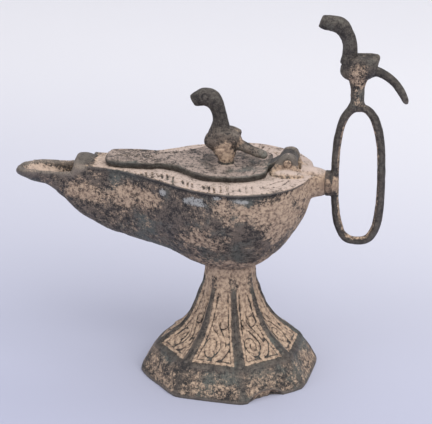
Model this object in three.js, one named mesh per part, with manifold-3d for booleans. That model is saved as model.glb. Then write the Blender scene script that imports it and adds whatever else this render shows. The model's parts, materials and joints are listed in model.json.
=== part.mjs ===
// Bronze oil lamp of the old Persian kind: a boat-shaped bowl with an open nozzle, a flat deck,
// a hinged spade-shaped lid with a bird on it, a tall ring handle with a second bird, and a
// flaring eight-sided foot with scroll panels.
// Millimetres, +Z up. The nozzle points to -X and the handle to +X. Everything is laid out from
// the axis of the foot on the ground, and the group is moved at the end so that its origin is
// the middle of the bounding box, on the ground.

import * as THREE from 'three';
import { mergeVertices } from 'three/addons/utils/BufferGeometryUtils.js';
import Module from 'manifold-3d';

const wasm = await Module();
wasm.setup();

// Fits
const GAP = 0.3;                 // between two pieces that meet, and around the hinge pin

// Heights
const FOOT_HEIGHT = 49.5;        // ground to the underside of the bowl
const BOWL_DEPTH = 47.8;         // from that underside up to the deck
const DECK_Z = FOOT_HEIGHT + BOWL_DEPTH;

// Bowl
const NOZZLE_REACH = 97;         // foot axis to the tip of the nozzle
const BACK_REACH = 36.5;         // foot axis to the back of the bowl
const BEAM = 62;                 // widest outside measure of the bowl
const WALL = 2.2;                // thickness of the cast wall
const CHANNEL_SHARE = 0.262;     // width of the wick channel as a share of the beam
const DECK_THICK = 2.4;
const DECK_LIP = 1.5;            // how far the deck stands out past the bowl
const LIP_THICK = 1.9;
const TROUGH_DROP = 3.7;         // deck down to the nozzle's rim behind the trough
const TIP_DROP = 6.3;            // deck down to the nozzle's rim at the tip
const STROKE_COUNT = 7;          // cut strokes along each side of the deck
const STROKE_LENGTH = 4.6;
const STROKE_WIDTH = 1.0;
const STROKE_INSET = 3.4;        // from the hull's edge in to a stroke's middle

// Bridge over the wick channel
const BRIDGE_X = -65.6;
const BRIDGE_LENGTH = 9.2;
const BRIDGE_HEIGHT = 2.0;       // above the deck
const BRIDGE_HALF_TOP = 5.0;
const BRIDGE_FOOT = 2.0;         // how far it reaches down inside the trough
const BRIDGE_SHOULDER = 2.4;     // deck down to where its sides start to lean in
const BRIDGE_CORNER = 1.6;       // height of its rounded corners

// Foot
const FOOT_SIDES = 8;
const FOOT_TURN = THREE.MathUtils.degToRad(17);
const FOOT_RADIUS = 41.6;        // to a corner, at the ground
const NECK_RADIUS = 11.4;        // to a corner, under the bowl
const FOOT_WALL = 2.8;
const FOOT_RIM = 4.6;            // width of the flat rim that stands on the ground
const BAND_TOP = 13.0;           // top of the plain band, where the panels start
const PANEL_TOP = 45.5;
const PANEL_SINK = 0.7;          // how deep a panel lies behind its ribs
const RIB_HALF = 1.7;            // half the width of the rib at a corner
const RIB_CREST = 0.25;          // how far a rib's middle stands out past the corner
const VINE_RISE = 0.75;          // relief above the panel's ground
const VINE_HALF = 0.62;
const FOOT_ROOF = 3.0;           // metal left under the bowl
const SEAT_RISE = 6.0;           // how far the foot's wall climbs the bowl's side
const CHIP_SIDE = 6;             // the side with the old loss in its edge
const CHIP_LENGTH = 18;
const CHIP_HEIGHT = 6.4;
const CHIP_DEPTH = 6.8;

// Lid
const LID_THICK = 2.7;
const LID_DISC_X = 1.9;          // centre of the lid's round part
const LID_DISC_RADIUS = 19.5;
const LID_TIP_X = -55.9;         // end of the tongue
const LID_BACK_X = 17.8;         // the straight back edge, in front of the lugs
const TONGUE_HALF = 8.8;
const WAIST_HALF = 7.4;
const LID_REST = 3.8;            // how far the lid lies over the edge of the opening
const DISH_DEPTH = 0.9;

// Hinge
const HINGE_X = 26.5;
const HINGE_RISE = 5.7;          // pin axis above the deck
const KNUCKLE_RADIUS = 3.8;
const KNUCKLE_HALF = 3.1;        // half the length of the lid's knuckle
const LUG_RADIUS = 4.2;
const LUG_THICK = 3.0;
const LUG_FRONT = 0.6;           // from the lid's back edge to the front of a lug
const LUG_BACK = 5.9;            // from the pin's axis to the back of a lug
const LUG_BASE_LENGTH = 15.6;    // the low mound that each lug grows out of
const LUG_BASE_WIDTH = 6.8;
const LUG_BASE_HEIGHT = 2.6;
const PIN_RADIUS = 1.2;
const PIN_HEAD_RADIUS = 1.8;
const PIN_HEAD_THICK = 0.7;

// Handle
const STUB_END_X = 43.2;
const STUB_HALF_HEIGHT = 5.6;
const STUB_HALF_WIDTH = 4.5;
const STUB_DROP = 4.7;           // deck down to the stub's middle line
const RING_X = 56.95;
const RING_DROP = 0.1;           // deck down to the middle of the ring
const RING_HALF_WIDTH = 10.15;   // to the middle of the bar
const RING_HALF_HEIGHT = 31.3;
const RING_BAR = 3.5;            // bar across, in the ring's plane
const RING_DEPTH = 4.4;          // bar from side to side
const LID_BIRD_HEIGHT = 35.2;    // above the lid's top
const LID_BIRD_X = -2.2;         // middle of its stem
const TOP_BIRD_HEIGHT = 41.5;    // above the ring's bar
const TOP_BIRD_X = 55.8;

const BRONZE = { color: 0x5a5248, roughness: 0.72, metalness: 0.55 };
const EARTHY = { color: 0x7d6a55, roughness: 0.85, metalness: 0.3 };
const DARK = { color: 0x3d3833, roughness: 0.6, metalness: 0.7 };

const TAU = Math.PI * 2;
const PAST = 2;                  // how far a cutting body runs past what it cuts
const Y_AXIS = new THREE.Vector3(0, 1, 0);

// Solids

// A closed body from rings of equal length: skins between neighbours, and a fan over each end,
// or a last skin back to the first ring when the loft is a loop.
function loft(rings, loop = false) {
  const count = rings[0].length;
  const positions = rings.flat().flatMap((p) => [p.x, p.y, p.z]);
  const index = [];
  const last = loop ? rings.length : rings.length - 1;
  for (let i = 0; i < last; i += 1) {
    const a = i * count;
    const b = ((i + 1) % rings.length) * count;
    for (let j = 0; j < count; j += 1) {
      const k = (j + 1) % count;
      index.push(a + j, a + k, b + k, a + j, b + k, b + j);
    }
  }
  if (!loop) {
    const ends = [[rings[0], 0], [rings.at(-1), (rings.length - 1) * count]];
    ends.forEach(([ring, at]) => {
      const middle = ring.reduce((sum, p) => sum.add(p), new THREE.Vector3()).divideScalar(count);
      const hub = positions.length / 3;
      positions.push(middle.x, middle.y, middle.z);
      for (let j = 0; j < count; j += 1) {
        const k = (j + 1) % count;
        const [a, b] = at === 0 ? [k, j] : [j, k];
        index.push(hub, at + a, at + b);
      }
    });
  }
  const geometry = new THREE.BufferGeometry();
  geometry.setAttribute('position', new THREE.Float32BufferAttribute(positions, 3));
  geometry.setIndex(index);
  return geometry;
}

// Six times the signed volume, which is negative when the faces point inwards.
function signedVolume(geometry) {
  const p = geometry.attributes.position;
  const [a, b, c] = [new THREE.Vector3(), new THREE.Vector3(), new THREE.Vector3()];
  let volume = 0;
  for (let i = 0; i < geometry.index.count; i += 3) {
    a.fromBufferAttribute(p, geometry.index.getX(i));
    b.fromBufferAttribute(p, geometry.index.getX(i + 1));
    c.fromBufferAttribute(p, geometry.index.getX(i + 2));
    volume += a.dot(b.cross(c));
  }
  return volume;
}

// A closed geometry as a solid for the boolean kernel, turned right side out.
function solid(source) {
  const geometry = source.clone();
  geometry.deleteAttribute('normal');
  geometry.deleteAttribute('uv');
  const merged = mergeVertices(geometry, 1e-4);
  const triangles = Uint32Array.from(merged.index.array);
  if (signedVolume(merged) < 0) {
    for (let i = 0; i < triangles.length; i += 3) {
      [triangles[i], triangles[i + 1]] = [triangles[i + 1], triangles[i]];
    }
  }
  const vertProperties = Float32Array.from(merged.attributes.position.array);
  return new wasm.Manifold(new wasm.Mesh({ numProp: 3, vertProperties, triVerts: triangles }));
}

const join = (...parts) => parts.reduce((whole, next) => whole.add(next));

function toMesh(name, body, look) {
  const out = body.getMesh();
  const geometry = new THREE.BufferGeometry();
  geometry.setAttribute('position', new THREE.Float32BufferAttribute(out.vertProperties, 3));
  geometry.setIndex(Array.from(out.triVerts));
  geometry.computeVertexNormals();
  const mesh = new THREE.Mesh(geometry, new THREE.MeshStandardMaterial({ ...look, flatShading: true }));
  mesh.name = name;
  return mesh;
}

function block(sizeX, sizeY, sizeZ, x, y, z) {
  return solid(new THREE.BoxGeometry(sizeX, sizeY, sizeZ).translate(x, y, z));
}

// A round bar along Y.
function barAcross(radius, from, to, x, z, sides = 14) {
  const bar = new THREE.CylinderGeometry(radius, radius, to - from, sides);
  return solid(bar.translate(x, (from + to) / 2, z));
}

// An upright plate: a shape in the XZ plane, thickened along Y.
function plateAcross(shape, from, to) {
  const settings = { depth: to - from, bevelEnabled: false, curveSegments: 8 };
  const plate = new THREE.ExtrudeGeometry(shape, settings);
  return solid(plate.rotateX(Math.PI / 2).translate(0, to, 0));
}

// A flat plate: an outline in the XY plane, thickened downwards from the given top.
function plateFlat(outline, top, thick) {
  const shape = new THREE.Shape(outline.map(([x, y]) => new THREE.Vector2(x, y)));
  const plate = new THREE.ExtrudeGeometry(shape, { depth: thick, bevelEnabled: false });
  return solid(plate.translate(0, 0, top - thick));
}

// A limb in the XZ plane: each station is [x, z, half measure in the plane, half measure along Y],
// and smooth curves run through the stations.
function limb(stations, { sides = 8, perStation = 2 } = {}) {
  const path = new THREE.CatmullRomCurve3(stations.map(([x, z]) => new THREE.Vector3(x, 0, z)));
  const girth = new THREE.CatmullRomCurve3(stations.map(([, , a, b]) => new THREE.Vector3(a, b, 0)));
  const steps = (stations.length - 1) * perStation;
  const rings = Array.from({ length: steps + 1 }, (_, i) => {
    const centre = path.getPoint(i / steps);
    const size = girth.getPoint(i / steps);
    const across = path.getTangent(i / steps).cross(Y_AXIS).normalize();
    return Array.from({ length: sides }, (__, j) => {
      const turn = ((j + 0.5) / sides) * TAU;
      return centre.clone()
        .addScaledVector(across, size.x * Math.cos(turn))
        .addScaledVector(Y_AXIS, size.y * Math.sin(turn));
    });
  });
  return solid(loft(rings));
}

// Bowl

// Stations of the hull from the nozzle's tip to the back: place as a share of the reach on its
// side, half width as a share of half the beam, and depth as a share of the bowl's depth.
const HULL = [
  [-1, 0.09, 0.145], [-0.98, 0.185, 0.165], [-0.925, 0.25, 0.225], [-0.85, 0.268, 0.27],
  [-0.79, CHANNEL_SHARE, 0.375], [-0.715, CHANNEL_SHARE, 0.522], [-0.64, CHANNEL_SHARE, 0.618],
  [-0.56, 0.29, 0.69], [-0.42, 0.425, 0.765], [-0.28, 0.645, 0.835], [-0.155, 0.845, 0.94],
  [-0.04, 0.975, 0.995],
  [0.15, 1, 0.995], [0.36, 0.955, 0.935], [0.56, 0.86, 0.82], [0.74, 0.725, 0.668],
  [0.87, 0.545, 0.49], [0.96, 0.34, 0.33], [1, 0.17, 0.24],
];
const HULL_STEPS = 32;
const HULL_SIDES = 12;

// Outer hull line at t from 0 to 1: x, half width and depth below the deck.
const hullLine = new THREE.CatmullRomCurve3(HULL.map(([along, width, depth]) => new THREE.Vector3(
  along < 0 ? along * NOZZLE_REACH : along * BACK_REACH, (width * BEAM) / 2, depth * BOWL_DEPTH)));

// One U-shaped section, closed flat on top.
function hullRing(x, halfWidth, depth, top) {
  return Array.from({ length: HULL_SIDES + 1 }, (_, j) => {
    const turn = (j / HULL_SIDES) * Math.PI;
    return new THREE.Vector3(x, halfWidth * Math.cos(turn), top - depth * Math.sin(turn));
  });
}

// The hull as a filled body, or its hollow when inset by the wall and lowered to a ceiling.
function hull(inset, top) {
  const rings = [];
  for (let i = 0; i <= HULL_STEPS; i += 1) {
    const at = hullLine.getPoint(i / HULL_STEPS);
    const reach = at.x < 0 ? NOZZLE_REACH : BACK_REACH;
    const x = at.x * (1 - inset / reach);
    const halfWidth = Math.max(at.y - inset, 0.3);
    const depth = Math.max(at.z - inset - (DECK_Z - top), 0.3);
    rings.push(hullRing(x, halfWidth, depth, top));
  }
  return solid(loft(rings));
}

// The deck's outline: the hull's widths from the bridge back, pushed out by the lip.
function deckOutline() {
  const side = [];
  for (let i = 0; i <= HULL_STEPS; i += 1) {
    const at = hullLine.getPoint(i / HULL_STEPS);
    if (at.x > BRIDGE_X + BRIDGE_LENGTH / 3) side.push([at.x, at.y + DECK_LIP]);
  }
  const end = [BACK_REACH + DECK_LIP, (HULL.at(-1)[1] * BEAM) / 2];
  side[side.length - 1] = end;
  return [...side, ...side.map(([x, y]) => [x, -y]).reverse()];
}

// The bridge: an upright rounded block across the channel, lower at its front.
function bridge() {
  const foot = (CHANNEL_SHARE * BEAM) / 2 + 0.2;
  const half = BRIDGE_LENGTH / 2;
  const low = DECK_Z - TROUGH_DROP - BRIDGE_FOOT;
  const shoulder = DECK_Z - BRIDGE_SHOULDER;
  const tops = [[-1, -0.7], [-0.7, 0.9], [0.1, 1], [1, 0.3]];
  const rings = tops.map(([share, rise]) => {
    const top = DECK_Z + rise * BRIDGE_HEIGHT;
    const corner = top - BRIDGE_CORNER;
    const right = [
      [BRIDGE_HALF_TOP * 0.6, top - 0.2], [BRIDGE_HALF_TOP + 1, corner], [foot, shoulder], [foot, low],
    ];
    const left = right.map(([y, z]) => [-y, z]).reverse();
    return [...left, ...right].map(([y, z]) => new THREE.Vector3(BRIDGE_X + share * half, y, z));
  });
  return solid(loft(rings));
}

// What is cut off over the trough so that the nozzle's rim slopes down to its tip.
function overTrough() {
  const from = BRIDGE_X - BRIDGE_LENGTH * 0.35;
  const to = -NOZZLE_REACH - PAST;
  const above = DECK_Z + PAST;
  const rim = [[0, 0], [0.6, 0.2], [0.82, 0.48], [0.95, 0.85], [1, 1]].map(([along, sink]) => [
    THREE.MathUtils.lerp(from, to, along), DECK_Z - THREE.MathUtils.lerp(TROUGH_DROP, TIP_DROP, sink)]);
  const ring = (y) => [...rim, [to, above], [from, above]].map(([x, z]) => new THREE.Vector3(x, y, z));
  return solid(loft([ring(-BEAM / 2), ring(BEAM / 2)]));
}

// A hinge lug: a round ear whose front runs down in a long slope to the lid's back edge.
function lug(from, to) {
  const z = DECK_Z + HINGE_RISE;
  const shape = new THREE.Shape();
  shape.moveTo(LID_BACK_X + LUG_FRONT, DECK_Z - 1);
  shape.lineTo(HINGE_X + LUG_BACK, DECK_Z - 1);
  shape.lineTo(HINGE_X + LUG_RADIUS, z);
  shape.absarc(HINGE_X, z, LUG_RADIUS, 0, Math.PI * 0.78, false);
  shape.lineTo(LID_BACK_X + LUG_FRONT, DECK_Z + 1);
  shape.closePath();
  return plateAcross(shape, from, to);
}

function lugPair() {
  const inner = KNUCKLE_HALF + GAP;
  const outer = inner + LUG_THICK;
  const mound = (sign) => {
    const lump = new THREE.SphereGeometry(0.5, 12, 8).rotateX(Math.PI / 2);
    lump.scale(LUG_BASE_LENGTH, LUG_BASE_WIDTH, 2 * LUG_BASE_HEIGHT);
    return solid(lump.translate(HINGE_X, sign * (inner + LUG_BASE_WIDTH / 2), DECK_Z));
  };
  return join(lug(inner, outer), lug(-outer, -inner), mound(-1), mound(1));
}

// An upright oval across the stub's line, larger than the stub by the growths in width and height.
function stubRing(x, growWidth, growHeight) {
  const z = DECK_Z - STUB_DROP;
  return Array.from({ length: 12 }, (_, j) => {
    const turn = ((j + 0.5) / 12) * TAU;
    const y = (STUB_HALF_WIDTH + growWidth) * Math.cos(turn);
    return new THREE.Vector3(x, y, z + (STUB_HALF_HEIGHT + growHeight) * Math.sin(turn));
  });
}

// The stub at the back that the handle is brazed to.
function stub() {
  const rings = [[BACK_REACH - 5, 1.9], [BACK_REACH, 1.5], [BACK_REACH + 4, 0.8], [STUB_END_X, 0]];
  return solid(loft(rings.map(([x, grow]) => stubRing(x, grow, grow))));
}

// The deck's inscription, kept as rows of plain slanting strokes that spell nothing.
function deckStrokes() {
  const strokes = [];
  const [first, last] = [0.44, 0.77];
  for (const sign of [-1, 1]) {
    for (let i = 0; i < STROKE_COUNT; i += 1) {
      const at = hullLine.getPoint(THREE.MathUtils.lerp(first, last, i / (STROKE_COUNT - 1)));
      const lean = (i % 3 === 0 ? 0.5 : -0.35) * sign;
      const stroke = new THREE.BoxGeometry(STROKE_WIDTH, STROKE_LENGTH, STROKE_WIDTH).rotateZ(lean);
      strokes.push(solid(stroke.translate(at.x, sign * (at.y - STROKE_INSET), DECK_Z)));
    }
  }
  return join(...strokes);
}

function buildBowl() {
  const deck = plateFlat(deckOutline(), DECK_Z, LIP_THICK);
  const outside = hull(0, DECK_Z).subtract(overTrough());
  const mass = join(outside, deck, bridge(), lugPair(), stub());
  const inside = hull(WALL, DECK_Z - DECK_THICK);
  const filling = plateFlat(lidOutline(LID_REST), DECK_Z + PAST, DECK_THICK + 2 * PAST);
  return mass.subtract(inside).subtract(filling).subtract(deckStrokes()).subtract(pinHole());
}

// Lid

// The spade outline seen from above, drawn in by an inset: a tongue, a waist and a round disc.
function lidOutline(inset) {
  const tip = LID_TIP_X + inset;
  const spanX = LID_DISC_X - tip;
  const radius = LID_DISC_RADIUS - inset;
  const side = new THREE.SplineCurve([
    [0, 0.02], [0.012, (TONGUE_HALF - inset) * 0.5], [0.075, (TONGUE_HALF - inset) * 0.88],
    [0.24, TONGUE_HALF - inset], [0.35, (TONGUE_HALF - inset) * 0.98], [0.44, WAIST_HALF - inset],
    [0.53, WAIST_HALF - inset + radius * 0.05], [0.655, radius * 0.66], [0.76, radius * 0.9],
    [0.87, radius * 0.985],
  ].map(([along, half]) => new THREE.Vector2(tip + along * spanX, half)));
  const upper = side.getPoints(22).map((p) => [p.x, Math.max(p.y, 0.4)]);
  for (let i = 0; i <= 9; i += 1) {
    const backTurn = Math.acos((LID_BACK_X - inset - LID_DISC_X) / radius);
    const turn = THREE.MathUtils.lerp(THREE.MathUtils.degToRad(98), backTurn, i / 9);
    upper.push([LID_DISC_X + radius * Math.cos(turn), radius * Math.sin(turn)]);
  }
  return [...upper, ...upper.map(([x, y]) => [x, -y]).reverse()];
}

// A standing bird from its own height: a stem, an egg-shaped body, a drooping tail, folded
// wings with square ends, a neck and a head with a blunt beak. All stations are shares.
function bird(x, z, height, form) {
  const place = (stations) => stations.map(([along, up, a, b]) => [
    x + along * height, z + up * height, a * height, b * height]);
  const wing = (sign) => {
    const ridge = limb(place(form.wing), { sides: 6 });
    return ridge.translate([0, sign * form.wingOut * height, 0]);
  };
  return join(limb(place(form.stem), { perStation: 1 }), limb(place(form.body)), limb(place(form.tail)),
    limb(place(form.neck)), wing(-1), wing(1));
}

const LID_BIRD = {
  stem: [[0.01, -0.03, 0.11, 0.11], [0.012, 0.05, 0.1, 0.1], [0.008, 0.12, 0.135, 0.115],
    [-0.01, 0.22, 0.165, 0.14]],
  body: [[-0.24, 0.36, 0.03, 0.03], [-0.2, 0.335, 0.125, 0.09], [-0.09, 0.315, 0.185, 0.135],
    [0.03, 0.3, 0.175, 0.14], [0.13, 0.285, 0.13, 0.115], [0.19, 0.265, 0.07, 0.07]],
  wing: [[-0.13, 0.36, 0.02, 0.02], [-0.06, 0.37, 0.1, 0.045], [0.06, 0.36, 0.1, 0.05],
    [0.165, 0.33, 0.085, 0.04], [0.18, 0.325, 0.05, 0.02]],
  wingOut: 0.095,
  tail: [[0.08, 0.29, 0.1, 0.08], [0.2, 0.245, 0.07, 0.075], [0.33, 0.19, 0.062, 0.07],
    [0.46, 0.145, 0.056, 0.065], [0.52, 0.125, 0.04, 0.05], [0.535, 0.12, 0.015, 0.02]],
  neck: [[-0.075, 0.36, 0.15, 0.1], [-0.06, 0.47, 0.125, 0.09], [-0.06, 0.57, 0.098, 0.08],
    [-0.078, 0.67, 0.092, 0.078], [-0.12, 0.78, 0.108, 0.085], [-0.18, 0.85, 0.124, 0.09],
    [-0.255, 0.862, 0.12, 0.09], [-0.325, 0.84, 0.1, 0.075], [-0.385, 0.81, 0.066, 0.055],
    [-0.412, 0.785, 0.03, 0.03]],
};

const TOP_BIRD = {
  stem: [[0.0, -0.035, 0.13, 0.05], [0.0, 0.0, 0.105, 0.06], [0.0, 0.09, 0.074, 0.058],
    [0.0, 0.19, 0.074, 0.058], [0, 0.28, 0.09, 0.07], [0, 0.36, 0.12, 0.09]],
  body: [[-0.175, 0.47, 0.03, 0.03], [-0.145, 0.455, 0.1, 0.075], [-0.08, 0.435, 0.135, 0.11],
    [0.01, 0.43, 0.132, 0.12], [0.11, 0.44, 0.118, 0.11], [0.19, 0.44, 0.07, 0.06]],
  wing: [[-0.1, 0.46, 0.02, 0.02], [-0.04, 0.475, 0.09, 0.04], [0.08, 0.485, 0.09, 0.045],
    [0.185, 0.485, 0.085, 0.035], [0.205, 0.48, 0.05, 0.02]],
  wingOut: 0.085,
  tail: [[0.1, 0.4, 0.07, 0.06], [0.2, 0.405, 0.052, 0.052], [0.3, 0.36, 0.046, 0.046],
    [0.39, 0.285, 0.044, 0.042], [0.46, 0.185, 0.04, 0.036], [0.505, 0.095, 0.028, 0.028],
    [0.515, 0.07, 0.012, 0.012]],
  neck: [[-0.095, 0.48, 0.1, 0.085], [-0.09, 0.6, 0.08, 0.07], [-0.098, 0.71, 0.076, 0.068],
    [-0.13, 0.8, 0.08, 0.07], [-0.19, 0.88, 0.09, 0.074], [-0.28, 0.908, 0.086, 0.068],
    [-0.35, 0.925, 0.07, 0.052], [-0.395, 0.94, 0.045, 0.035], [-0.408, 0.948, 0.02, 0.02]],
};

// The strap that climbs from the lid's back edge to its knuckle.
function lidStrap(lidTop) {
  const z = DECK_Z + HINGE_RISE;
  const wide = KNUCKLE_HALF * 1.4;
  return limb([
    [LID_BACK_X - 5, lidTop - 1.3, 1.2, wide], [LID_BACK_X, lidTop - 0.6, 1.3, wide],
    [(LID_BACK_X + HINGE_X) / 2, z - 0.8, 1.5, wide], [HINGE_X - 0.5, z + 1.2, 1.5, wide],
  ]).intersect(block(60, 2 * KNUCKLE_HALF, 60, LID_BACK_X, 0, z));
}

function pinHole() {
  const long = KNUCKLE_HALF + LUG_THICK + PAST;
  return barAcross(PIN_RADIUS + GAP, -long, long, HINGE_X, DECK_Z + HINGE_RISE);
}

function buildLid() {
  const top = DECK_Z + GAP + LID_THICK;
  const plate = plateFlat(lidOutline(0), top, LID_THICK);
  const dishRadius = LID_DISC_RADIUS - 3;
  const dish = new THREE.SphereGeometry(1, 20, 8).scale(dishRadius, dishRadius, DISH_DEPTH);
  const knuckle = barAcross(KNUCKLE_RADIUS, -KNUCKLE_HALF, KNUCKLE_HALF, HINGE_X, DECK_Z + HINGE_RISE);
  const dished = plate.subtract(solid(dish.translate(LID_DISC_X - 1, 0, top)));
  const figure = bird(LID_BIRD_X, top - DISH_DEPTH, LID_BIRD_HEIGHT, LID_BIRD);
  return join(dished, figure, lidStrap(top), knuckle).subtract(pinHole());
}

function buildPin() {
  const inner = KNUCKLE_HALF + 2 * GAP + LUG_THICK;
  const outer = inner + PIN_HEAD_THICK;
  const z = DECK_Z + HINGE_RISE;
  return join(
    barAcross(PIN_RADIUS, -outer + 0.2, outer - 0.2, HINGE_X, z),
    barAcross(PIN_HEAD_RADIUS, inner, outer, HINGE_X, z),
    barAcross(PIN_HEAD_RADIUS, -outer, -inner, HINGE_X, z),
  );
}

// Handle

// The ring: a bar carried round a superellipse, squarer below than above.
function ring() {
  const steps = 34;
  const centre = (turn) => {
    const [c, s] = [Math.cos(turn), Math.sin(turn)];
    const power = s < 0 ? 2 / 3 : 2 / 2.45;
    return new THREE.Vector3(RING_X + RING_HALF_WIDTH * Math.sign(c) * Math.abs(c) ** power, 0,
      DECK_Z - RING_DROP + RING_HALF_HEIGHT * Math.sign(s) * Math.abs(s) ** power);
  };
  const rings = Array.from({ length: steps }, (_, i) => {
    const turn = ((i + 0.5) / steps) * TAU;
    const at = centre(turn);
    const ahead = centre(turn + 0.05).sub(centre(turn - 0.05)).normalize();
    const across = ahead.cross(Y_AXIS).normalize();
    return Array.from({ length: 6 }, (__, j) => {
      const round = (j / 6) * TAU;
      return at.clone()
        .addScaledVector(across, (RING_BAR / 2) * Math.cos(round) * 1.06)
        .addScaledVector(Y_AXIS, (RING_DEPTH / 2) * Math.sin(round) * 1.06);
    });
  });
  return solid(loft(rings, true));
}

function buildHandle() {
  const inner = RING_X - RING_HALF_WIDTH;
  const rings = [[STUB_END_X + GAP, 0], [inner - 0.9, -0.3], [inner + 0.9, -2.1]];
  const boss = solid(loft(rings.map(([x, grow]) => stubRing(x, grow, grow))));
  const barTop = DECK_Z - RING_DROP + RING_HALF_HEIGHT;
  return join(ring(), boss, bird(TOP_BIRD_X, barTop, TOP_BIRD_HEIGHT, TOP_BIRD));
}

// Foot

// Corner radius by height, as shares of the way from the neck's radius to the ground's.
const FOOT_PROFILE = [
  [0, 1], [2.2, 0.985], [7.8, 0.867], [BAND_TOP - 1.1, 0.774], [BAND_TOP, 0.77], [BAND_TOP + 0.9, 0.732],
  [BAND_TOP + 1.6, 0.702], [18, 0.549], [21.5, 0.4], [26, 0.27], [31, 0.184], [36.5, 0.108],
  [PANEL_TOP - 2, 0.032], [PANEL_TOP, 0.02], [FOOT_HEIGHT + 0.7, 0.002], [FOOT_HEIGHT + SEAT_RISE, 0],
];

function footRadius(z) {
  const next = FOOT_PROFILE.findIndex(([height]) => height >= z);
  if (next <= 0) return NECK_RADIUS + FOOT_PROFILE[0][1] * (FOOT_RADIUS - NECK_RADIUS);
  const [[z0, a], [z1, b]] = [FOOT_PROFILE[next - 1], FOOT_PROFILE[next]];
  return NECK_RADIUS + THREE.MathUtils.lerp(a, b, (z - z0) / (z1 - z0)) * (FOOT_RADIUS - NECK_RADIUS);
}

const SIDE_ANGLE = TAU / FOOT_SIDES;
const APOTHEM = Math.cos(SIDE_ANGLE / 2);

// A point of one side of the foot: across runs from -1 to 1 between its corners.
function footPoint(side, across, z, inward = 0) {
  const radius = footRadius(z);
  const out = radius * APOTHEM - inward;
  const along = across * radius * Math.sin(SIDE_ANGLE / 2);
  const turn = FOOT_TURN + (side + 0.5) * SIDE_ANGLE;
  return new THREE.Vector3(
    out * Math.cos(turn) - along * Math.sin(turn), out * Math.sin(turn) + along * Math.cos(turn), z);
}

// The outside of the foot, with a rib at each corner and a sunk panel on each side.
function footOutside() {
  const rings = FOOT_PROFILE.map(([z]) => {
    const inPanel = z > BAND_TOP + 0.5 && z < PANEL_TOP - 0.5;
    const halfSide = footRadius(z) * Math.sin(SIDE_ANGLE / 2);
    const rib = Math.min(RIB_HALF / halfSide, 0.3);
    const ring = [];
    for (let side = 0; side < FOOT_SIDES; side += 1) {
      ring.push(footPoint(side, -1, z, -RIB_CREST));
      ring.push(footPoint(side, -1 + rib, z));
      ring.push(footPoint(side, -1 + rib * 1.6, z, inPanel ? PANEL_SINK : 0));
      ring.push(footPoint(side, 1 - rib * 1.6, z, inPanel ? PANEL_SINK : 0));
      ring.push(footPoint(side, 1 - rib, z));
    }
    return ring;
  });
  return solid(loft(rings));
}

// The hollow under the foot, open to the ground.
function footInside() {
  const roof = FOOT_HEIGHT - FOOT_ROOF;
  const stations = FOOT_PROFILE.map(([z]) => z);
  const between = stations.filter((z) => z > BAND_TOP + PAST && z < roof - FOOT_ROOF);
  const heights = [-PAST, BAND_TOP * 0.6, BAND_TOP, ...between, roof];
  const rings = heights.map((z) => {
    const wall = THREE.MathUtils.lerp(FOOT_RIM, FOOT_WALL, THREE.MathUtils.clamp(z / BAND_TOP, 0, 1));
    return Array.from({ length: FOOT_SIDES * 2 }, (_, j) => {
      const corner = j % 2 === 0;
      const radius = (footRadius(Math.max(z, 0)) * APOTHEM - wall) / (corner ? APOTHEM : 1);
      const turn = FOOT_TURN + (j * SIDE_ANGLE) / 2;
      return new THREE.Vector3(radius * Math.cos(turn), radius * Math.sin(turn), z);
    });
  });
  return solid(loft(rings));
}

// A raised strand on a side of the foot: points are [across, height], and the strand is a ridge
// whose edges lie under the panel's ground.
function strand(side, points) {
  const rings = points.map(([across, z], i) => {
    const before = points[Math.max(i - 1, 0)];
    const after = points[Math.min(i + 1, points.length - 1)];
    const middle = footPoint(side, across, z, PANEL_SINK);
    const ahead = footPoint(side, ...after).sub(footPoint(side, ...before)).normalize();
    const turn = FOOT_TURN + (side + 0.5) * SIDE_ANGLE;
    const slope = (footRadius(z + 0.5) - footRadius(z - 0.5)) * APOTHEM;
    const outward = new THREE.Vector3(Math.cos(turn), Math.sin(turn), -slope).normalize();
    const beside = ahead.clone().cross(outward).normalize();
    const point = (u, v) => middle.clone().addScaledVector(beside, u).addScaledVector(outward, v);
    return [point(-VINE_HALF * 1.5, -0.4), point(0, VINE_RISE), point(VINE_HALF * 1.5, -0.4)];
  });
  return solid(loft(rings));
}

// The scroll of one side: a stem that swings up the panel and a curl in each of its bays.
function scroll(side) {
  const low = BAND_TOP + 2.4;
  const high = PANEL_TOP - 3;
  const bays = 3;
  const swing = (share) => 0.5 * Math.sin(share * bays * Math.PI);
  const height = (share) => THREE.MathUtils.lerp(low, high, share ** 1.35);
  const stem = Array.from({ length: 12 }, (_, i) => [swing(i / 11), height(i / 11)]);
  const parts = [strand(side, stem)];
  for (let bay = 0; bay < bays - 1; bay += 1) {
    const share = (bay + 0.5) / bays;
    const sign = bay % 2 === 0 ? -1 : 1;
    const z = height(share);
    const size = (height((bay + 1) / bays) - height(bay / bays)) * 0.3;
    const halfSide = footRadius(z) * Math.sin(SIDE_ANGLE / 2);
    const curl = Array.from({ length: 6 }, (_, i) => {
      const turn = (i / 5) * 1.35 * Math.PI;
      const reach = size * (1 - 0.07 * i);
      return [sign * (0.22 + (reach * Math.sin(turn)) / halfSide), z - reach * Math.cos(turn) * 0.9];
    });
    parts.push(strand(side, curl));
  }
  return join(...parts);
}

// The old loss in the foot's front edge.
function chip() {
  const at = footPoint(CHIP_SIDE, -0.25, 0);
  const facing = FOOT_TURN + (CHIP_SIDE + 0.5) * SIDE_ANGLE;
  const lump = new THREE.IcosahedronGeometry(0.5, 1).scale(CHIP_LENGTH, CHIP_DEPTH, CHIP_HEIGHT);
  return solid(lump.rotateZ(facing + Math.PI / 2).translate(at.x, at.y, at.z + CHIP_HEIGHT / 10));
}

function buildFoot() {
  const scrolls = Array.from({ length: FOOT_SIDES }, (_, side) => scroll(side));
  const seat = hull(0, DECK_Z).translate([0, 0, -GAP]);
  return join(footOutside(), ...scrolls).subtract(footInside()).subtract(seat).subtract(chip());
}

// Assembly

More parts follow.
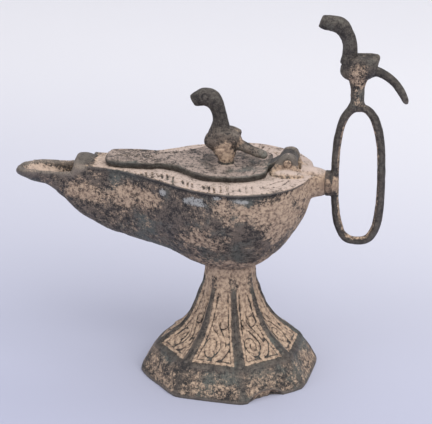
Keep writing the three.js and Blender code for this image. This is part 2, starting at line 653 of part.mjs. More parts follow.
const lamp = new THREE.Group();
lamp.add(
  toMesh('foot', buildFoot(), EARTHY),
  toMesh('bowl', buildBowl(), BRONZE),
  toMesh('lid', buildLid(), EARTHY),
  toMesh('hinge_pin', buildPin(), DARK),
  toMesh('handle', buildHandle(), DARK),
);
const extent = new THREE.Box3().setFromObject(lamp);
const middle = extent.getCenter(new THREE.Vector3());
lamp.position.set(-middle.x, -middle.y, -extent.min.z);

export default lamp;
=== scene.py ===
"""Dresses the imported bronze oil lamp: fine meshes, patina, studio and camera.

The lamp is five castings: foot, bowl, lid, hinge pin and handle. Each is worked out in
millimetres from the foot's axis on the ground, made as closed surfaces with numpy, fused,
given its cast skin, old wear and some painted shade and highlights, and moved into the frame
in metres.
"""

import json
import logging
import math
from dataclasses import dataclass, field
from enum import Enum
from typing import Callable, NamedTuple

import bpy
import numpy as np
from mathutils import Matrix, Vector

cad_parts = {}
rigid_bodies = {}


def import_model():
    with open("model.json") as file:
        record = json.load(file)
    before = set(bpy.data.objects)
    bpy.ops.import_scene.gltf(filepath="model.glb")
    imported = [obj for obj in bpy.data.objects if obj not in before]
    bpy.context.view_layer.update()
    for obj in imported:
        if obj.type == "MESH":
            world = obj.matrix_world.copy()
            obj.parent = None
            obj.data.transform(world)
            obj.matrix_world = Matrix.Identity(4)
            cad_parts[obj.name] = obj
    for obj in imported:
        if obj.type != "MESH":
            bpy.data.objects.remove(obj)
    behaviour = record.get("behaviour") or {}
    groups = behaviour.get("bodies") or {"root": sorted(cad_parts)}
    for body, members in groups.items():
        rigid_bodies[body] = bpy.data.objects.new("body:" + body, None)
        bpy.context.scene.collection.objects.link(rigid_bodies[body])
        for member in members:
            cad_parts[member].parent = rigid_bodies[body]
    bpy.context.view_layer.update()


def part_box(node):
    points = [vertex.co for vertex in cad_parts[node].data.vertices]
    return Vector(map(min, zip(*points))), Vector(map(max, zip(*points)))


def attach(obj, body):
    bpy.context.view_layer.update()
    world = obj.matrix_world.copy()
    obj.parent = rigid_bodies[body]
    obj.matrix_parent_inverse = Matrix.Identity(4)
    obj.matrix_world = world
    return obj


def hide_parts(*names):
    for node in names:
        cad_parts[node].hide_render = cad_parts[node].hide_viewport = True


LOG = logging.getLogger("lamp")
TAU = 2 * math.pi
MM = 0.001
TINY = 1e-6

# Sizes shared by several castings, in millimetres
DECK_Z = 97.3
HINGE_X = 26.5
HINGE_Z = 103.0
KNUCKLE_HALF = 3.1
LUG_THICK = 3.0
GAP = 0.3
PIN_RADIUS = 1.2
STUB_END_X = 43.2
STUB_Z = 92.6
STUB_HALF_HEIGHT = 5.6
STUB_HALF_WIDTH = 4.5

# Value noise: a shift that keeps cell numbers above zero, and an integer hash of a cell's corner
LATTICE_SHIFT = 4096.5
SEED_SHIFT = 17.0
OCTAVE_SEED = 31
HASH_AXES = (73856093, 19349663, 83492791)
HASH_MIX = 1274126177
HASH_32 = 0xFFFFFFFF
HASH_24 = 0xFFFFFF

# Polylines: how far past a stroke's box points are measured, and what the others get
STROKE_MARGIN = 2.5
FAR_AWAY = 1e9
LEAST_SQUARE = 1e-9


# Numbers to surfaces


@dataclass
class Surface:
    """A mesh as arrays: vertices in millimetres and faces of four or three corners.

    A triangle repeats its last corner, so all faces fit one array.
    """

    verts: np.ndarray
    faces: np.ndarray

    def moved(self, shift: tuple[float, float, float]) -> "Surface":
        """Returns the surface moved by a shift in millimetres."""
        return Surface(self.verts + np.array(shift), self.faces)


def spline(points: np.ndarray, t: np.ndarray) -> np.ndarray:
    """Smooth curve through points: cubic pieces, each with a slope at its two ends.

    A slope is that of the parabola through the point and its two neighbours, with the points
    spaced by the square roots of their distances. Past the ends, points are mirrored.

    Args:
        points: rows of any width that the curve passes through.
        t: places along the curve from 0 to 1, even from point to point.

    Returns:
        One row for each t.
    """
    pts = np.vstack([2 * points[0] - points[1], points, 2 * points[-1] - points[-2]])
    along = np.clip(np.asarray(t, float), 0, 1) * (len(points) - 1)
    i = np.minimum(along.astype(int), len(points) - 2)
    w = (along - i)[:, None]
    p0, p1, p2, p3 = (pts[i + k] for k in range(4))
    d0, d1, d2 = (np.maximum(np.linalg.norm(b - a, axis=1, keepdims=True), TINY) ** 0.5
                  for a, b in ((p0, p1), (p1, p2), (p2, p3)))
    m1 = ((p1 - p0) / d0 - (p2 - p0) / (d0 + d1) + (p2 - p1) / d1) * d1
    m2 = ((p2 - p1) / d1 - (p3 - p1) / (d1 + d2) + (p3 - p2) / d2) * d1
    w2, w3 = w * w, w * w * w
    return ((2 * w3 - 3 * w2 + 1) * p1 + (w3 - 2 * w2 + w) * m1
            + (3 * w2 - 2 * w3) * p2 + (w3 - w2) * m2)


def smoothstep(low: float, high: float, x: np.ndarray) -> np.ndarray:
    """Eased ramp from 0 at low to 1 at high."""
    w = np.clip((x - low) / (high - low), 0, 1)
    return w * w * (3 - 2 * w)


def falling(low: float, high: float, x: np.ndarray) -> np.ndarray:
    """Eased ramp from 1 at low down to 0 at high."""
    return 1 - smoothstep(low, high, x)


def bell(x: np.ndarray, middle: float | np.ndarray, width: float | np.ndarray) -> np.ndarray:
    """Bell curve: 1 at the middle, the power -1 of e at one width from it."""
    return np.exp(-((x - middle) / width) ** 2)


def lattice_noise(points: np.ndarray, cell: float, seed: int) -> np.ndarray:
    """Value noise from -1 to 1: hashed corner values of a cubic lattice, eased between.

    Args:
        points: positions, one row each.
        cell: size of a lattice cell, in the units of the positions.
        seed: number that picks the pattern.

    Returns:
        One value for each point.
    """
    q = points / cell + LATTICE_SHIFT + seed * SEED_SHIFT
    base = np.floor(q).astype(np.int64)
    w = q - base
    w = w * w * (3 - 2 * w)
    total = np.zeros(len(points))
    by_x, by_y, by_z = (np.uint64(factor) for factor in HASH_AXES)
    for corner in range(8):
        bit = np.array([corner & 1, corner >> 1 & 1, corner >> 2 & 1])
        c = (base + bit).astype(np.uint64)
        h = c[:, 0] * by_x ^ c[:, 1] * by_y ^ c[:, 2] * by_z
        h = (h ^ (h >> np.uint64(13))) * np.uint64(HASH_MIX) & np.uint64(HASH_32)
        h = (h ^ (h >> np.uint64(16))) & np.uint64(HASH_24)
        share = np.prod(np.where(bit, w, 1 - w), axis=1)
        total += share * (h.astype(float) / (HASH_24 // 2) - 1)
    return total


def fractal(points: np.ndarray, cell: float, octaves: int, seed: int) -> np.ndarray:
    """Sum of lattice noise, each octave half as large and half as strong as the last.

    Args:
        points: positions, one row each.
        cell: size of the first octave's cells, in the positions' units.
        octaves: how many octaves are summed.
        seed: number that picks the pattern.

    Returns:
        One value for each point, about 0.
    """
    total = np.zeros(len(points))
    for k in range(octaves):
        total += lattice_noise(points, cell / 2 ** k, seed + OCTAVE_SEED * k) / 2 ** k
    return total


def circle(sides: int) -> np.ndarray:
    """Angles spread evenly over one full turn, the first at zero."""
    return np.arange(sides) / sides * TAU


def gathered(*parts: np.ndarray | float) -> np.ndarray:
    """Coordinates of any matching shapes brought to one shape and set side by side, last."""
    return np.stack(np.broadcast_arrays(*parts), -1)


def skin(rings: np.ndarray, loop: bool = False) -> Surface:
    """Closed surface over rings: a quad between neighbours, a fan over each open end.

    The faces are turned over as a whole where the enclosed volume, summed over them as
    tetrahedra from the origin, comes out below zero.

    Args:
        rings: array of shape (ring, point, 3).
        loop: True joins the last ring to the first and leaves out the fans.

    Returns:
        The surface, with its faces pointing out.
    """
    n, m = rings.shape[:2]
    index = np.arange(n * m).reshape(n, m)
    after = np.roll(index, -1, axis=0) if loop else index[1:]
    before = index if loop else index[:-1]
    quads = np.stack([before, np.roll(before, -1, 1), np.roll(after, -1, 1), after], -1).reshape(-1, 4)
    verts = rings.reshape(-1, 3)
    if not loop:
        hubs = np.array([rings[0].mean(0), rings[-1].mean(0)])
        verts = np.vstack([verts, hubs])
        low, high = index[0], index[-1]
        a = np.stack([np.full(m, n * m), np.roll(low, -1), low, low], -1)
        b = np.stack([np.full(m, n * m + 1), high, np.roll(high, -1), np.roll(high, -1)], -1)
        quads = np.vstack([quads, a, b])
    p = verts[quads]
    volume = (np.einsum("ij,ij->i", p[:, 0], np.cross(p[:, 1], p[:, 2]))
              + np.einsum("ij,ij->i", p[:, 0], np.cross(p[:, 2], p[:, 3]))).sum()
    return Surface(verts, turned_over(quads) if volume < 0 else quads)


def turned_over(faces: np.ndarray) -> np.ndarray:
    """The faces seen from behind; a triangle still repeats its last corner."""
    triangle = faces[:, 2] == faces[:, 3]
    return np.where(triangle[:, None], faces[:, [1, 0, 2, 2]], faces[:, [1, 0, 3, 2]])


def limb(stations: np.ndarray, sides: int = 36, per_station: int = 9,
         least_girth: float = 0.15) -> Surface:
    """A rounded limb in the XZ plane: ellipses square to a curve through the stations.

    Args:
        stations: rows of x, z, half measure in the plane and half measure along Y.
        sides: points round each ellipse.
        per_station: rings from one station to the next.
        least_girth: smallest half measure, so that the curve never turns a ring inside out.

    Returns:
        The closed limb.
    """
    t = np.linspace(0, 1, (len(stations) - 1) * per_station + 1)
    path = spline(stations[:, :2], t)
    girth = np.maximum(spline(stations[:, 2:], t), least_girth)
    ahead = np.gradient(path, axis=0)
    ahead /= np.linalg.norm(ahead, axis=1, keepdims=True)
    turn = circle(sides)
    across = girth[:, :1] * np.cos(turn)
    rings = np.empty((len(t), sides, 3))
    rings[..., 0] = path[:, :1] - ahead[:, 1:] * across
    rings[..., 1] = girth[:, 1:] * np.sin(turn)
    rings[..., 2] = path[:, 1:] + ahead[:, :1] * across
    return skin(rings)


def hinge_bar(radius: float, half_length: float, sides: int = 48, steps: int = 24) -> Surface:
    """A round bar along the hinge's line, as long on both sides of the middle.

    Args:
        radius: the bar's radius.
        half_length: how far it reaches along Y on each side.
        sides: points round it.
        steps: rings along it.

    Returns:
        The closed bar.
    """
    turn = circle(sides)
    y = np.linspace(-half_length, half_length, steps)[:, None]
    return skin(gathered(HINGE_X + radius * np.cos(turn), y, HINGE_Z + radius * np.sin(turn)))


# Surfaces to Blender


def make_object(name: str, surface: Surface) -> bpy.types.Object:
    """Puts a surface into a new linked mesh object, in the surface's own units.

    Args:
        name: name of the object and its mesh.
        surface: what the mesh holds.

    Returns:
        The linked object.
    """
    mesh = bpy.data.meshes.new(name)
    faces = surface.faces
    triangle = faces[:, 2] == faces[:, 3]
    sizes = np.where(triangle, 3, 4)
    keep = np.ones_like(faces, bool)
    keep[triangle, 3] = False
    mesh.vertices.add(len(surface.verts))
    mesh.vertices.foreach_set("co", surface.verts.astype(np.float32).ravel())
    mesh.loops.add(int(sizes.sum()))
    mesh.loops.foreach_set("vertex_index", faces[keep].astype(np.int32))
    mesh.polygons.add(len(faces))
    starts = np.concatenate([[0], np.cumsum(sizes)[:-1]])
    mesh.polygons.foreach_set("loop_start", starts.astype(np.int32))
    mesh.update(calc_edges=True)
    mesh.validate()
    obj = bpy.data.objects.new(name, mesh)
    bpy.context.scene.collection.objects.link(obj)
    return obj


def discard(obj: bpy.types.Object) -> None:
    """Removes an object together with its mesh.

    Args:
        obj: the object.
    """
    mesh = obj.data
    bpy.data.objects.remove(obj)
    bpy.data.meshes.remove(mesh)


def settle(obj: bpy.types.Object) -> None:
    """Turns an object's modifiers into its mesh.

    Args:
        obj: the object, whose modifiers are cleared.
    """
    graph = bpy.context.evaluated_depsgraph_get()
    mesh = bpy.data.meshes.new_from_object(obj.evaluated_get(graph))
    old = obj.data
    obj.modifiers.clear()
    obj.data = mesh
    bpy.data.meshes.remove(old)


class Cut(Enum):
    """How a second body acts on the first."""

    JOIN = "UNION"
    TAKE = "DIFFERENCE"


def work(obj: bpy.types.Object, how: Cut, surfaces: list[Surface]) -> None:
    """Joins closed surfaces to an object, or takes them away from it, one by one.

    Args:
        obj: the object that stays.
        how: whether the surfaces are joined or taken away.
        surfaces: closed surfaces, in the order of the work.
    """
    for surface in surfaces:
        tool = make_object("tool", surface)
        modifier = obj.modifiers.new("cut", "BOOLEAN")
        modifier.operation = how.value
        modifier.solver = "MANIFOLD"
        modifier.object = tool
        settle(obj)
        discard(tool)


def read_points(mesh: bpy.types.Mesh) -> np.ndarray:
    """The mesh's vertex positions, one row each.

    Args:
        mesh: the mesh.

    Returns:
        One row of three numbers for each vertex.
    """
    points = np.empty(len(mesh.vertices) * 3, np.float32)
    mesh.vertices.foreach_get("co", points)
    return points.reshape(-1, 3).astype(float)


def read_normals(mesh: bpy.types.Mesh) -> np.ndarray:
    """The mesh's vertex normals, one row each.

    Args:
        mesh: the mesh.

    Returns:
        One row of three numbers for each vertex.
    """
    normals = np.empty(len(mesh.vertices) * 3, np.float32)
    mesh.vertex_normals.foreach_get("vector", normals)
    return normals.reshape(-1, 3).astype(float)


def write_points(mesh: bpy.types.Mesh, points: np.ndarray) -> None:
    """Moves the mesh's vertices to new positions."""
    mesh.vertices.foreach_set("co", points.astype(np.float32).ravel())
    mesh.update()


class Neighbours:
    """The mean of each vertex's neighbours, for smoothing and for finding hollows."""

    def __init__(self, mesh: bpy.types.Mesh) -> None:
        """Reads the mesh's edges.

        Args:
            mesh: the mesh, whose edges stay as they are.
        """
        edges = np.empty(len(mesh.edges) * 2, np.int32)
        mesh.edges.foreach_get("vertices", edges)
        self.a, self.b = edges.reshape(-1, 2).T
        self.count = np.bincount(np.concatenate([self.a, self.b]), minlength=len(mesh.vertices))

    def mean(self, values: np.ndarray) -> np.ndarray:
        """The mean of the neighbours' values; a vertex with none keeps zero.

        Args:
            values: one number or row for each vertex.

        Returns:
            The means, in the same shape.
        """
        n = len(self.count)
        columns = values.reshape(n, -1)
        out = np.empty_like(columns)
        for k in range(columns.shape[1]):
            c = columns[:, k]
            out[:, k] = np.bincount(self.a, c[self.b], n) + np.bincount(self.b, c[self.a], n)
        out /= np.maximum(self.count, 1)[:, None]
        return out.reshape(values.shape)

    def smooth(self, values: np.ndarray, rounds: int, share: float = 0.6) -> np.ndarray:
        """Moves values towards their neighbours' mean, a number of rounds.

        Args:
            values: one number or row for each vertex.
            rounds: how many rounds.
            share: how far each round goes to the mean.

        Returns:
            The smoothed values.
        """
        for _ in range(rounds):
            values = values + share * (self.mean(values) - values)
        return values


def melt(obj: bpy.types.Object, voxel: float, rounds: int, share: float = 0.5) -> None:
    """Remeshes an object to even quads, which fuses what overlaps, and smooths it.

    Args:
        obj: the object, made of closed bodies.
        voxel: size of a quad.
        rounds: rounds of smoothing after it.
        share: how far each round moves a vertex to the mean of its neighbours.
    """
    modifier = obj.modifiers.new("melt", "REMESH")
    modifier.mode = "VOXEL"
    modifier.voxel_size = voxel
    modifier.adaptivity = 0
    settle(obj)
    write_points(obj.data, Neighbours(obj.data).smooth(read_points(obj.data), rounds, share))


def set_attribute(mesh: bpy.types.Mesh, name: str, values: np.ndarray) -> None:
    """Stores one number for each vertex under a name that a material reads."""
    layer = mesh.attributes.get(name) or mesh.attributes.new(name, "FLOAT", "POINT")
    layer.data.foreach_set("value", np.clip(values, 0, 1).astype(np.float32))


def stroke_distance(points: np.ndarray, strokes: list[np.ndarray]) -> np.ndarray:
    """Distance from each flat point to the nearest of several polylines.

    Only points within a margin of a stroke's box are measured; the others count as far away.

    Args:
        points: positions in a plane, two columns.
        strokes: polylines, each an array with two columns.

    Returns:
        One distance for each point.
    """
    nearest = np.full(len(points), FAR_AWAY)
    for stroke in strokes:
        low, high = stroke.min(0) - STROKE_MARGIN, stroke.max(0) + STROKE_MARGIN
        near = np.all((points > low) & (points < high), axis=1)
        p = points[near]
        best = nearest[near]
        for a, b in zip(stroke[:-1], stroke[1:]):
            d = b - a
            w = np.clip((p - a) @ d / max(d @ d, LEAST_SQUARE), 0, 1)[:, None]
            best = np.minimum(best, np.linalg.norm(p - a - w * d, axis=1))
        nearest[near] = best
    return nearest


@dataclass
class Placement:
    """Where the foot's axis stands in the frame, and how a casting gets there."""

    axis_x: float

    def place(self, obj: bpy.types.Object) -> None:
        """Scales a mesh from millimetres to metres and moves it to the frame's origin."""
        obj.data.transform(Matrix.Translation((self.axis_x, 0, 0)) @ Matrix.Scale(MM, 4))
        obj.data.shade_smooth()


# Finishes


@dataclass(frozen=True)
class Patina:
    """One casting's finish. Colours are linear, shares run from 0 to 1.

    metal, brown and green are the crust's own colours, worn_and_highlight shows where it is rubbed
    and stands in for painted highlights on edges, and deep where it never grew; clay and
    earth_and_painted_light are the two tones of held soil, the second also painted as highlight,
    dust the film on flat tops, bloom the chalky spots and rust the brazed joint. green_share is how
    much of the crust is green.
    """

    name: str
    slot: str
    metal: tuple[float, float, float] = (0.026, 0.023, 0.021)
    brown: tuple[float, float, float] = (0.170, 0.133, 0.103)
    green: tuple[float, float, float] = (0.118, 0.125, 0.107)
    earth_and_painted_light: tuple[float, float, float] = (0.52, 0.382, 0.268)
    clay: tuple[float, float, float] = (0.27, 0.19, 0.135)
    deep: tuple[float, float, float] = (0.072, 0.075, 0.064)
    dust: tuple[float, float, float] = (0.50, 0.40, 0.34)
    bloom: tuple[float, float, float] = (0.45, 0.445, 0.415)
    rust: tuple[float, float, float] = (0.15, 0.09, 0.058)
    worn_and_highlight: tuple[float, float, float] = (0.26, 0.22, 0.18)
    green_share: float = 0.5


@dataclass(frozen=True)
class Weathering:
    """How the noises break up a patina, the same for every casting.

    Scales are in cells a metre. A pair gives where a layer starts to show and where it covers.
    """

    broad: float = 55.0
    patch: float = 190.0
    mottle: float = 650.0
    grit: float = 1900.0
    brown: tuple[float, float] = (0.30, 0.60)
    green_middle: float = 0.60
    green_width: float = 0.12
    rubbed: tuple[float, float] = (0.05, 0.42)
    pitted: tuple[float, float] = (-0.06, -0.34)
    uncrusted: tuple[float, float] = (0.44, 0.80)
    soil: tuple[float, float] = (0.36, 0.72)
    ochre: tuple[float, float] = (0.40, 0.60)
    film: tuple[float, float] = (0.22, 0.52)
    chalk: tuple[float, float] = (0.35, 0.6)
    braze: tuple[float, float] = (0.36, 0.56)
    specks: tuple[float, float] = (-0.10, -0.36)
    crust_roughness: float = 0.54
    soil_roughness: float = 0.90
    crust_metallic: float = 0.35
    bump_strength: float = 0.7
    bump_distance: float = 0.0011


class NodeBench:
    """Short words for making and joining shader nodes."""

    def __init__(self, material: bpy.types.Material) -> None:
        """Clears the material's tree.

        Args:
            material: the material that the nodes are made in.
        """
        material.use_nodes = True
        self.tree = material.node_tree
        self.tree.nodes.clear()

    def node(self, kind: str, **settings: object) -> bpy.types.Node:
        """Adds a node and sets its properties.

        Args:
            kind: the node's type.
            settings: its properties.

        Returns:
            The node.
        """
        made = self.tree.nodes.new(kind)
        for key, value in settings.items():
            setattr(made, key, value)
        return made

    def feed(self, socket: bpy.types.NodeSocket, value: object) -> None:
        """Links a socket to another, or sets its value.

        Args:
            socket: the input.
            value: an output to link, or a plain value.
        """
        if isinstance(value, bpy.types.NodeSocket):
            self.tree.links.new(value, socket)
        else:
            socket.default_value = value

    def math(self, operation: str, a: object, b: object) -> bpy.types.NodeSocket:
        """One sum, difference or product of two numbers.

        Args:
            operation: the node's own word for it.
            a: first number or output.
            b: second number or output.

        Returns:
            The result's output.
        """
        made = self.node("ShaderNodeMath", operation=operation)
        self.feed(made.inputs[0], a)
        self.feed(made.inputs[1], b)
        return made.outputs[0]

    def scaled(self, value: object, factor: float, offset: float = 0.0) -> bpy.types.NodeSocket:
        """A number times a factor, plus an offset.

        Args:
            value: number or output.
            factor: what it is multiplied by.
            offset: what is added then.

        Returns:
            The result's output.
        """
        made = self.node("ShaderNodeMath", operation="MULTIPLY_ADD")
        self.feed(made.inputs[0], value)
        made.inputs[1].default_value = factor
        made.inputs[2].default_value = offset
        return made.outputs[0]

    def ramp(self, value: object, low: float, high: float) -> bpy.types.NodeSocket:
        """An eased ramp from 0 at low to 1 at high.

        Args:
            value: number or output.
            low: value that gives 0.
            high: value that gives 1.

        Returns:
            The result's output.
        """
        made = self.node("ShaderNodeMapRange", interpolation_type="SMOOTHSTEP")
        self.feed(made.inputs["Value"], value)
        made.inputs["From Min"].default_value = low
        made.inputs["From Max"].default_value = high
        return made.outputs["Result"]

    def blend(self, share: object, a: object, b: object) -> bpy.types.NodeSocket:
        """A colour between a, at share 0, and b, at share 1.

        Args:
            share: number or output.
            a: first colour or output.
            b: second colour or output.

        Returns:
            The colour's output.
        """
        made = self.node("ShaderNodeMix", data_type="RGBA")
        self.feed(made.inputs["Factor"], share)
        for socket, value in ((made.inputs[6], a), (made.inputs[7], b)):
            self.feed(socket, (*value, 1.0) if isinstance(value, tuple) else value)
        return made.outputs[2]

    def noise(self, where: bpy.types.NodeSocket, scale: float, detail: float = 3.0,
              rough: float = 0.55) -> bpy.types.NodeSocket:
        """Fractal noise about 0.5 with a scale in cells a metre.

        Args:
            where: the coordinates' output.
            scale: cells a metre.
            detail: how many finer octaves.
            rough: how strong they are.

        Returns:
            The noise's output.
        """
        made = self.node("ShaderNodeTexNoise")
        self.feed(made.inputs["Vector"], where)
        made.inputs["Scale"].default_value = scale
        made.inputs["Detail"].default_value = detail
        made.inputs["Roughness"].default_value = rough
        return made.outputs["Fac"]

    def attribute(self, name: str) -> bpy.types.NodeSocket:
        """A number stored on the mesh."""
        return self.node("ShaderNodeAttribute", attribute_name=name).outputs["Fac"]


def patina_material(finish: Patina) -> bpy.types.Material:
    """Old buried bronze: dark metal, green and brown crust, soil where it has held, and some painted shade
    and highlights.

    The mesh's attributes say where: earth_and_painted_light for how much soil has held and where
    tan highlights or shade are painted, dust for a pinkish film in place of ochre, bare_and_shade
    for dark metal with no crust and for painted shade, pale for chalky spots, groove for cut lines,
    wear_and_highlight for rubbed edges that also paint highlights, and rust for the brazed joint.
    Noise at four scales breaks them all up.

    Args:
        finish: the casting's colours and shares.

    Returns:
        The material.
    """
    material = bpy.data.materials.new(finish.name)
    b = NodeBench(material)
    look = Weathering()
    where = b.node("ShaderNodeTexCoord").outputs["Object"]
    broad = b.noise(where, look.broad, 3.0)
    patch = b.noise(where, look.patch, 4.0, 0.6)
    mottle = b.noise(where, look.mottle, 4.0, 0.7)
    grit = b.noise(where, look.grit, 2.0, 0.7)
    fine = b.math("ADD", b.scaled(mottle, 1.2), b.scaled(grit, 1.1, -1.15))

    # Crust: brown on metal, green on both, rubbed and pitted, and none where it never grew; dark where the
    # mesh paints shade, and rubbed edges that also paint highlights
    brown = b.ramp(b.math("ADD", patch, b.scaled(fine, 0.8)), *look.brown)
    crust = b.blend(brown, finish.metal, finish.brown)
    greenness = b.math("ADD", b.scaled(broad, 0.75), b.scaled(mottle, 0.25))
    green_edge = look.green_middle - 0.2 * finish.green_share
    green = b.ramp(greenness, green_edge, green_edge + look.green_width)
    crust = b.blend(green, crust, finish.green)
    crust = b.blend(b.scaled(b.ramp(fine, *look.rubbed), 0.45), crust, finish.worn_and_highlight)
    crust = b.blend(b.scaled(b.ramp(fine, *look.pitted), 0.75), crust, finish.metal)
    # The dark from this attribute is uncrusted metal, and painted shade on the bowl's lip, the lid's edge
    # and the foot's cuts.
    bare_and_shade = b.attribute("bare_and_shade")
    dark = b.ramp(b.math("ADD", patch, fine), *look.uncrusted)
    crust = b.blend(b.scaled(bare_and_shade, 0.9), crust, b.blend(dark, finish.metal, finish.deep))
    # Convex edges take the worn colour, as rubbing and as painted highlight.
    crust = b.blend(b.scaled(b.attribute("wear_and_highlight"), 0.65), crust, finish.worn_and_highlight)

    # Soil: held by the mesh's numbers and the noises, ochre or a film, then chalk and braze; the numbers
    # also carry tan painted as highlight and less soil painted as shade
    held = b.math("ADD", b.attribute("earth_and_painted_light"), b.scaled(fine, 1.1))
    held = b.math("ADD", held, b.scaled(patch, 0.8, -0.4))
    held = b.math("SUBTRACT", held, b.scaled(b.attribute("groove"), 0.45))
    held = b.math("SUBTRACT", held, b.scaled(bare_and_shade, 0.4))
    soil = b.ramp(held, *look.soil)
    ochre = b.blend(b.ramp(mottle, *look.ochre), finish.clay, finish.earth_and_painted_light)
    film = b.ramp(b.math("ADD", patch, b.scaled(fine, 0.5)), *look.film)
    film = b.blend(film, finish.brown, finish.dust)
    colour = b.blend(soil, crust, b.blend(b.attribute("dust"), ochre, film))
    chalk = b.math("ADD", b.attribute("pale"), b.scaled(fine, 0.6, -0.1))
    colour = b.blend(b.ramp(chalk, *look.chalk), colour, finish.bloom)
    braze = b.math("MULTIPLY", b.attribute("rust"), b.ramp(mottle, *look.braze))
    colour = b.blend(braze, colour, finish.rust)
    colour = b.blend(b.scaled(b.ramp(fine, *look.specks), 0.7), colour, finish.metal)

    shader = b.node("ShaderNodeBsdfPrincipled")
    b.feed(shader.inputs["Base Color"], colour)
    rougher = look.soil_roughness - look.crust_roughness
    b.feed(shader.inputs["Roughness"], b.scaled(soil, rougher, look.crust_roughness))
    b.feed(shader.inputs["Metallic"], b.scaled(soil, -look.crust_metallic, look.crust_metallic))
    height = b.math("ADD", b.scaled(mottle, 0.7), b.scaled(grit, 0.3))
    height = b.math("ADD", height, b.scaled(soil, 0.3))
    bump = b.node("ShaderNodeBump")
    bump.inputs["Strength"].default_value = look.bump_strength
    bump.inputs["Distance"].default_value = look.bump_distance
    b.feed(bump.inputs["Height"], height)
    b.feed(shader.inputs["Normal"], bump.outputs["Normal"])
    b.feed(b.node("ShaderNodeOutputMaterial").inputs["Surface"], shader.outputs[0])
    return material


class Patch(NamedTuple):
    """An oval on the casting's side: its middle and its half measures, in millimetres."""

    x: float
    z: float
    reach_x: float
    reach_z: float


@dataclass
class Coat:
    """What lies on a casting's surface, one number for each vertex.

    The numbers are named as patina_material reads them. They may pass 0 and 1, and are held
    between the two when they are stored.
    """

    points: np.ndarray
    normals: np.ndarray
    earth_and_painted_light: np.ndarray
    groove: np.ndarray
    wear_and_highlight: np.ndarray
    bare_and_shade: np.ndarray = field(init=False)
    dust: np.ndarray = field(init=False)
    pale: np.ndarray = field(init=False)
    rust: np.ndarray = field(init=False)

    def __post_init__(self) -> None:
        """Starts with no uncrusted metal or painted shade, dust, chalk or rust."""
        self.bare_and_shade, self.dust, self.pale, self.rust = (np.zeros(len(self.points)) for _ in range(4))

    def spot(self, patch: Patch) -> np.ndarray:
        """Cover of a patch, from 0 to 1, through from side to side, with a wavering edge.

        Args:
            patch: where the patch lies.

        Returns:
            One share for each vertex.
        """
        seed = int(50 + abs(patch.x) * 7 + abs(patch.z))
        waver = 0.45 * fractal(self.points, 7.0, 3, seed)
        away = np.hypot((self.points[:, 0] - patch.x) / patch.reach_x,
                        (self.points[:, 2] - patch.z) / patch.reach_z)
        return 1 - smoothstep(0.45, 1.35, away + waver)

    def spots(self, patches: tuple[Patch, ...], share: float) -> np.ndarray:
        """Cover of several patches, each times a share and summed.

        Args:
            patches: where they lie.
            share: how strongly each counts.

        Returns:
            One number for each vertex.
        """
        total = np.zeros(len(self.points))
        for patch in patches:
            total += share * self.spot(patch)
        return total

    def store(self, mesh: bpy.types.Mesh) -> None:
        """Writes the numbers to the mesh for its material."""
        for name in ("earth_and_painted_light", "groove", "wear_and_highlight", "bare_and_shade", "dust", "pale", "rust"):
            set_attribute(mesh, name, getattr(self, name))


@dataclass(frozen=True)
class CastSkin:
    """The worn skin of a casting: how rough it is and how soil lies on it."""

    seed: int
    sway: float
    lumps: float
    pits: float
    soil_up: float
    soil_base: float
    sway_cell: float = 14.0
    lump_cell: float = 3.6
    pit_cell: float = 1.7
    pitted_cell: float = 9.0
    hollow_depth: float = 0.12
    standing_rim: float = 1.5

    def apply(self, mesh: bpy.types.Mesh,
              groove: Callable[[np.ndarray], np.ndarray] | None = None,
              groove_depth: float = 0.0, stands: bool = False) -> Coat:
        """Roughens a casting and finds where soil, cuts and wear are; the edge wear also serves as painted
        highlight.

        The surface moves along its normals by broad sway, small lumps and sharp pits, and in by
        the grooves. Hollows, found as the height of the neighbours' mean over a vertex, hold
        soil, and edges lose it.

        Args:
            mesh: the casting, in millimetres.
            groove: gives each point's share of a cut line, from 0 to 1.
            groove_depth: depth of a cut line.
            stands: True keeps the rim on the ground as it is.

        Returns:
            What lies on the surface, not yet stored.
        """
        points, normals = read_points(mesh), read_normals(mesh)
        around = Neighbours(mesh)
        cut = groove(points) if groove else np.zeros(len(points))
        pit = smoothstep(0.35, 0.8, lattice_noise(points, self.pit_cell, self.seed + 5))
        pit *= smoothstep(-0.1, 0.5, lattice_noise(points, self.pitted_cell, self.seed + 6))
        move = (self.sway * lattice_noise(points, self.sway_cell, self.seed)
                + self.lumps * fractal(points, self.lump_cell, 3, self.seed + 1)
                - self.pits * pit - groove_depth * cut)
        if stands:
            move *= smoothstep(0.0, self.standing_rim, points[:, 2])
        moved = points + normals * move[:, None]
        write_points(mesh, moved)
        normals = around.smooth(read_normals(mesh), 2)
        broad = around.smooth(moved, 8)
        hollow = around.smooth(np.einsum("ij,ij->i", broad - moved, normals), 2) / self.hollow_depth
        earth_and_painted_light = (self.soil_base + self.soil_up * np.clip(normals[:, 2], 0, 1)
                 + 0.25 * np.clip(hollow, 0, 1) - 0.3 * np.clip(-hollow, 0, 1))
        # Edge wear, which also stands in for painted highlights.
        return Coat(moved, normals, earth_and_painted_light, cut, 0.7 * np.clip(-hollow - 0.4, 0, 1))


# Castings


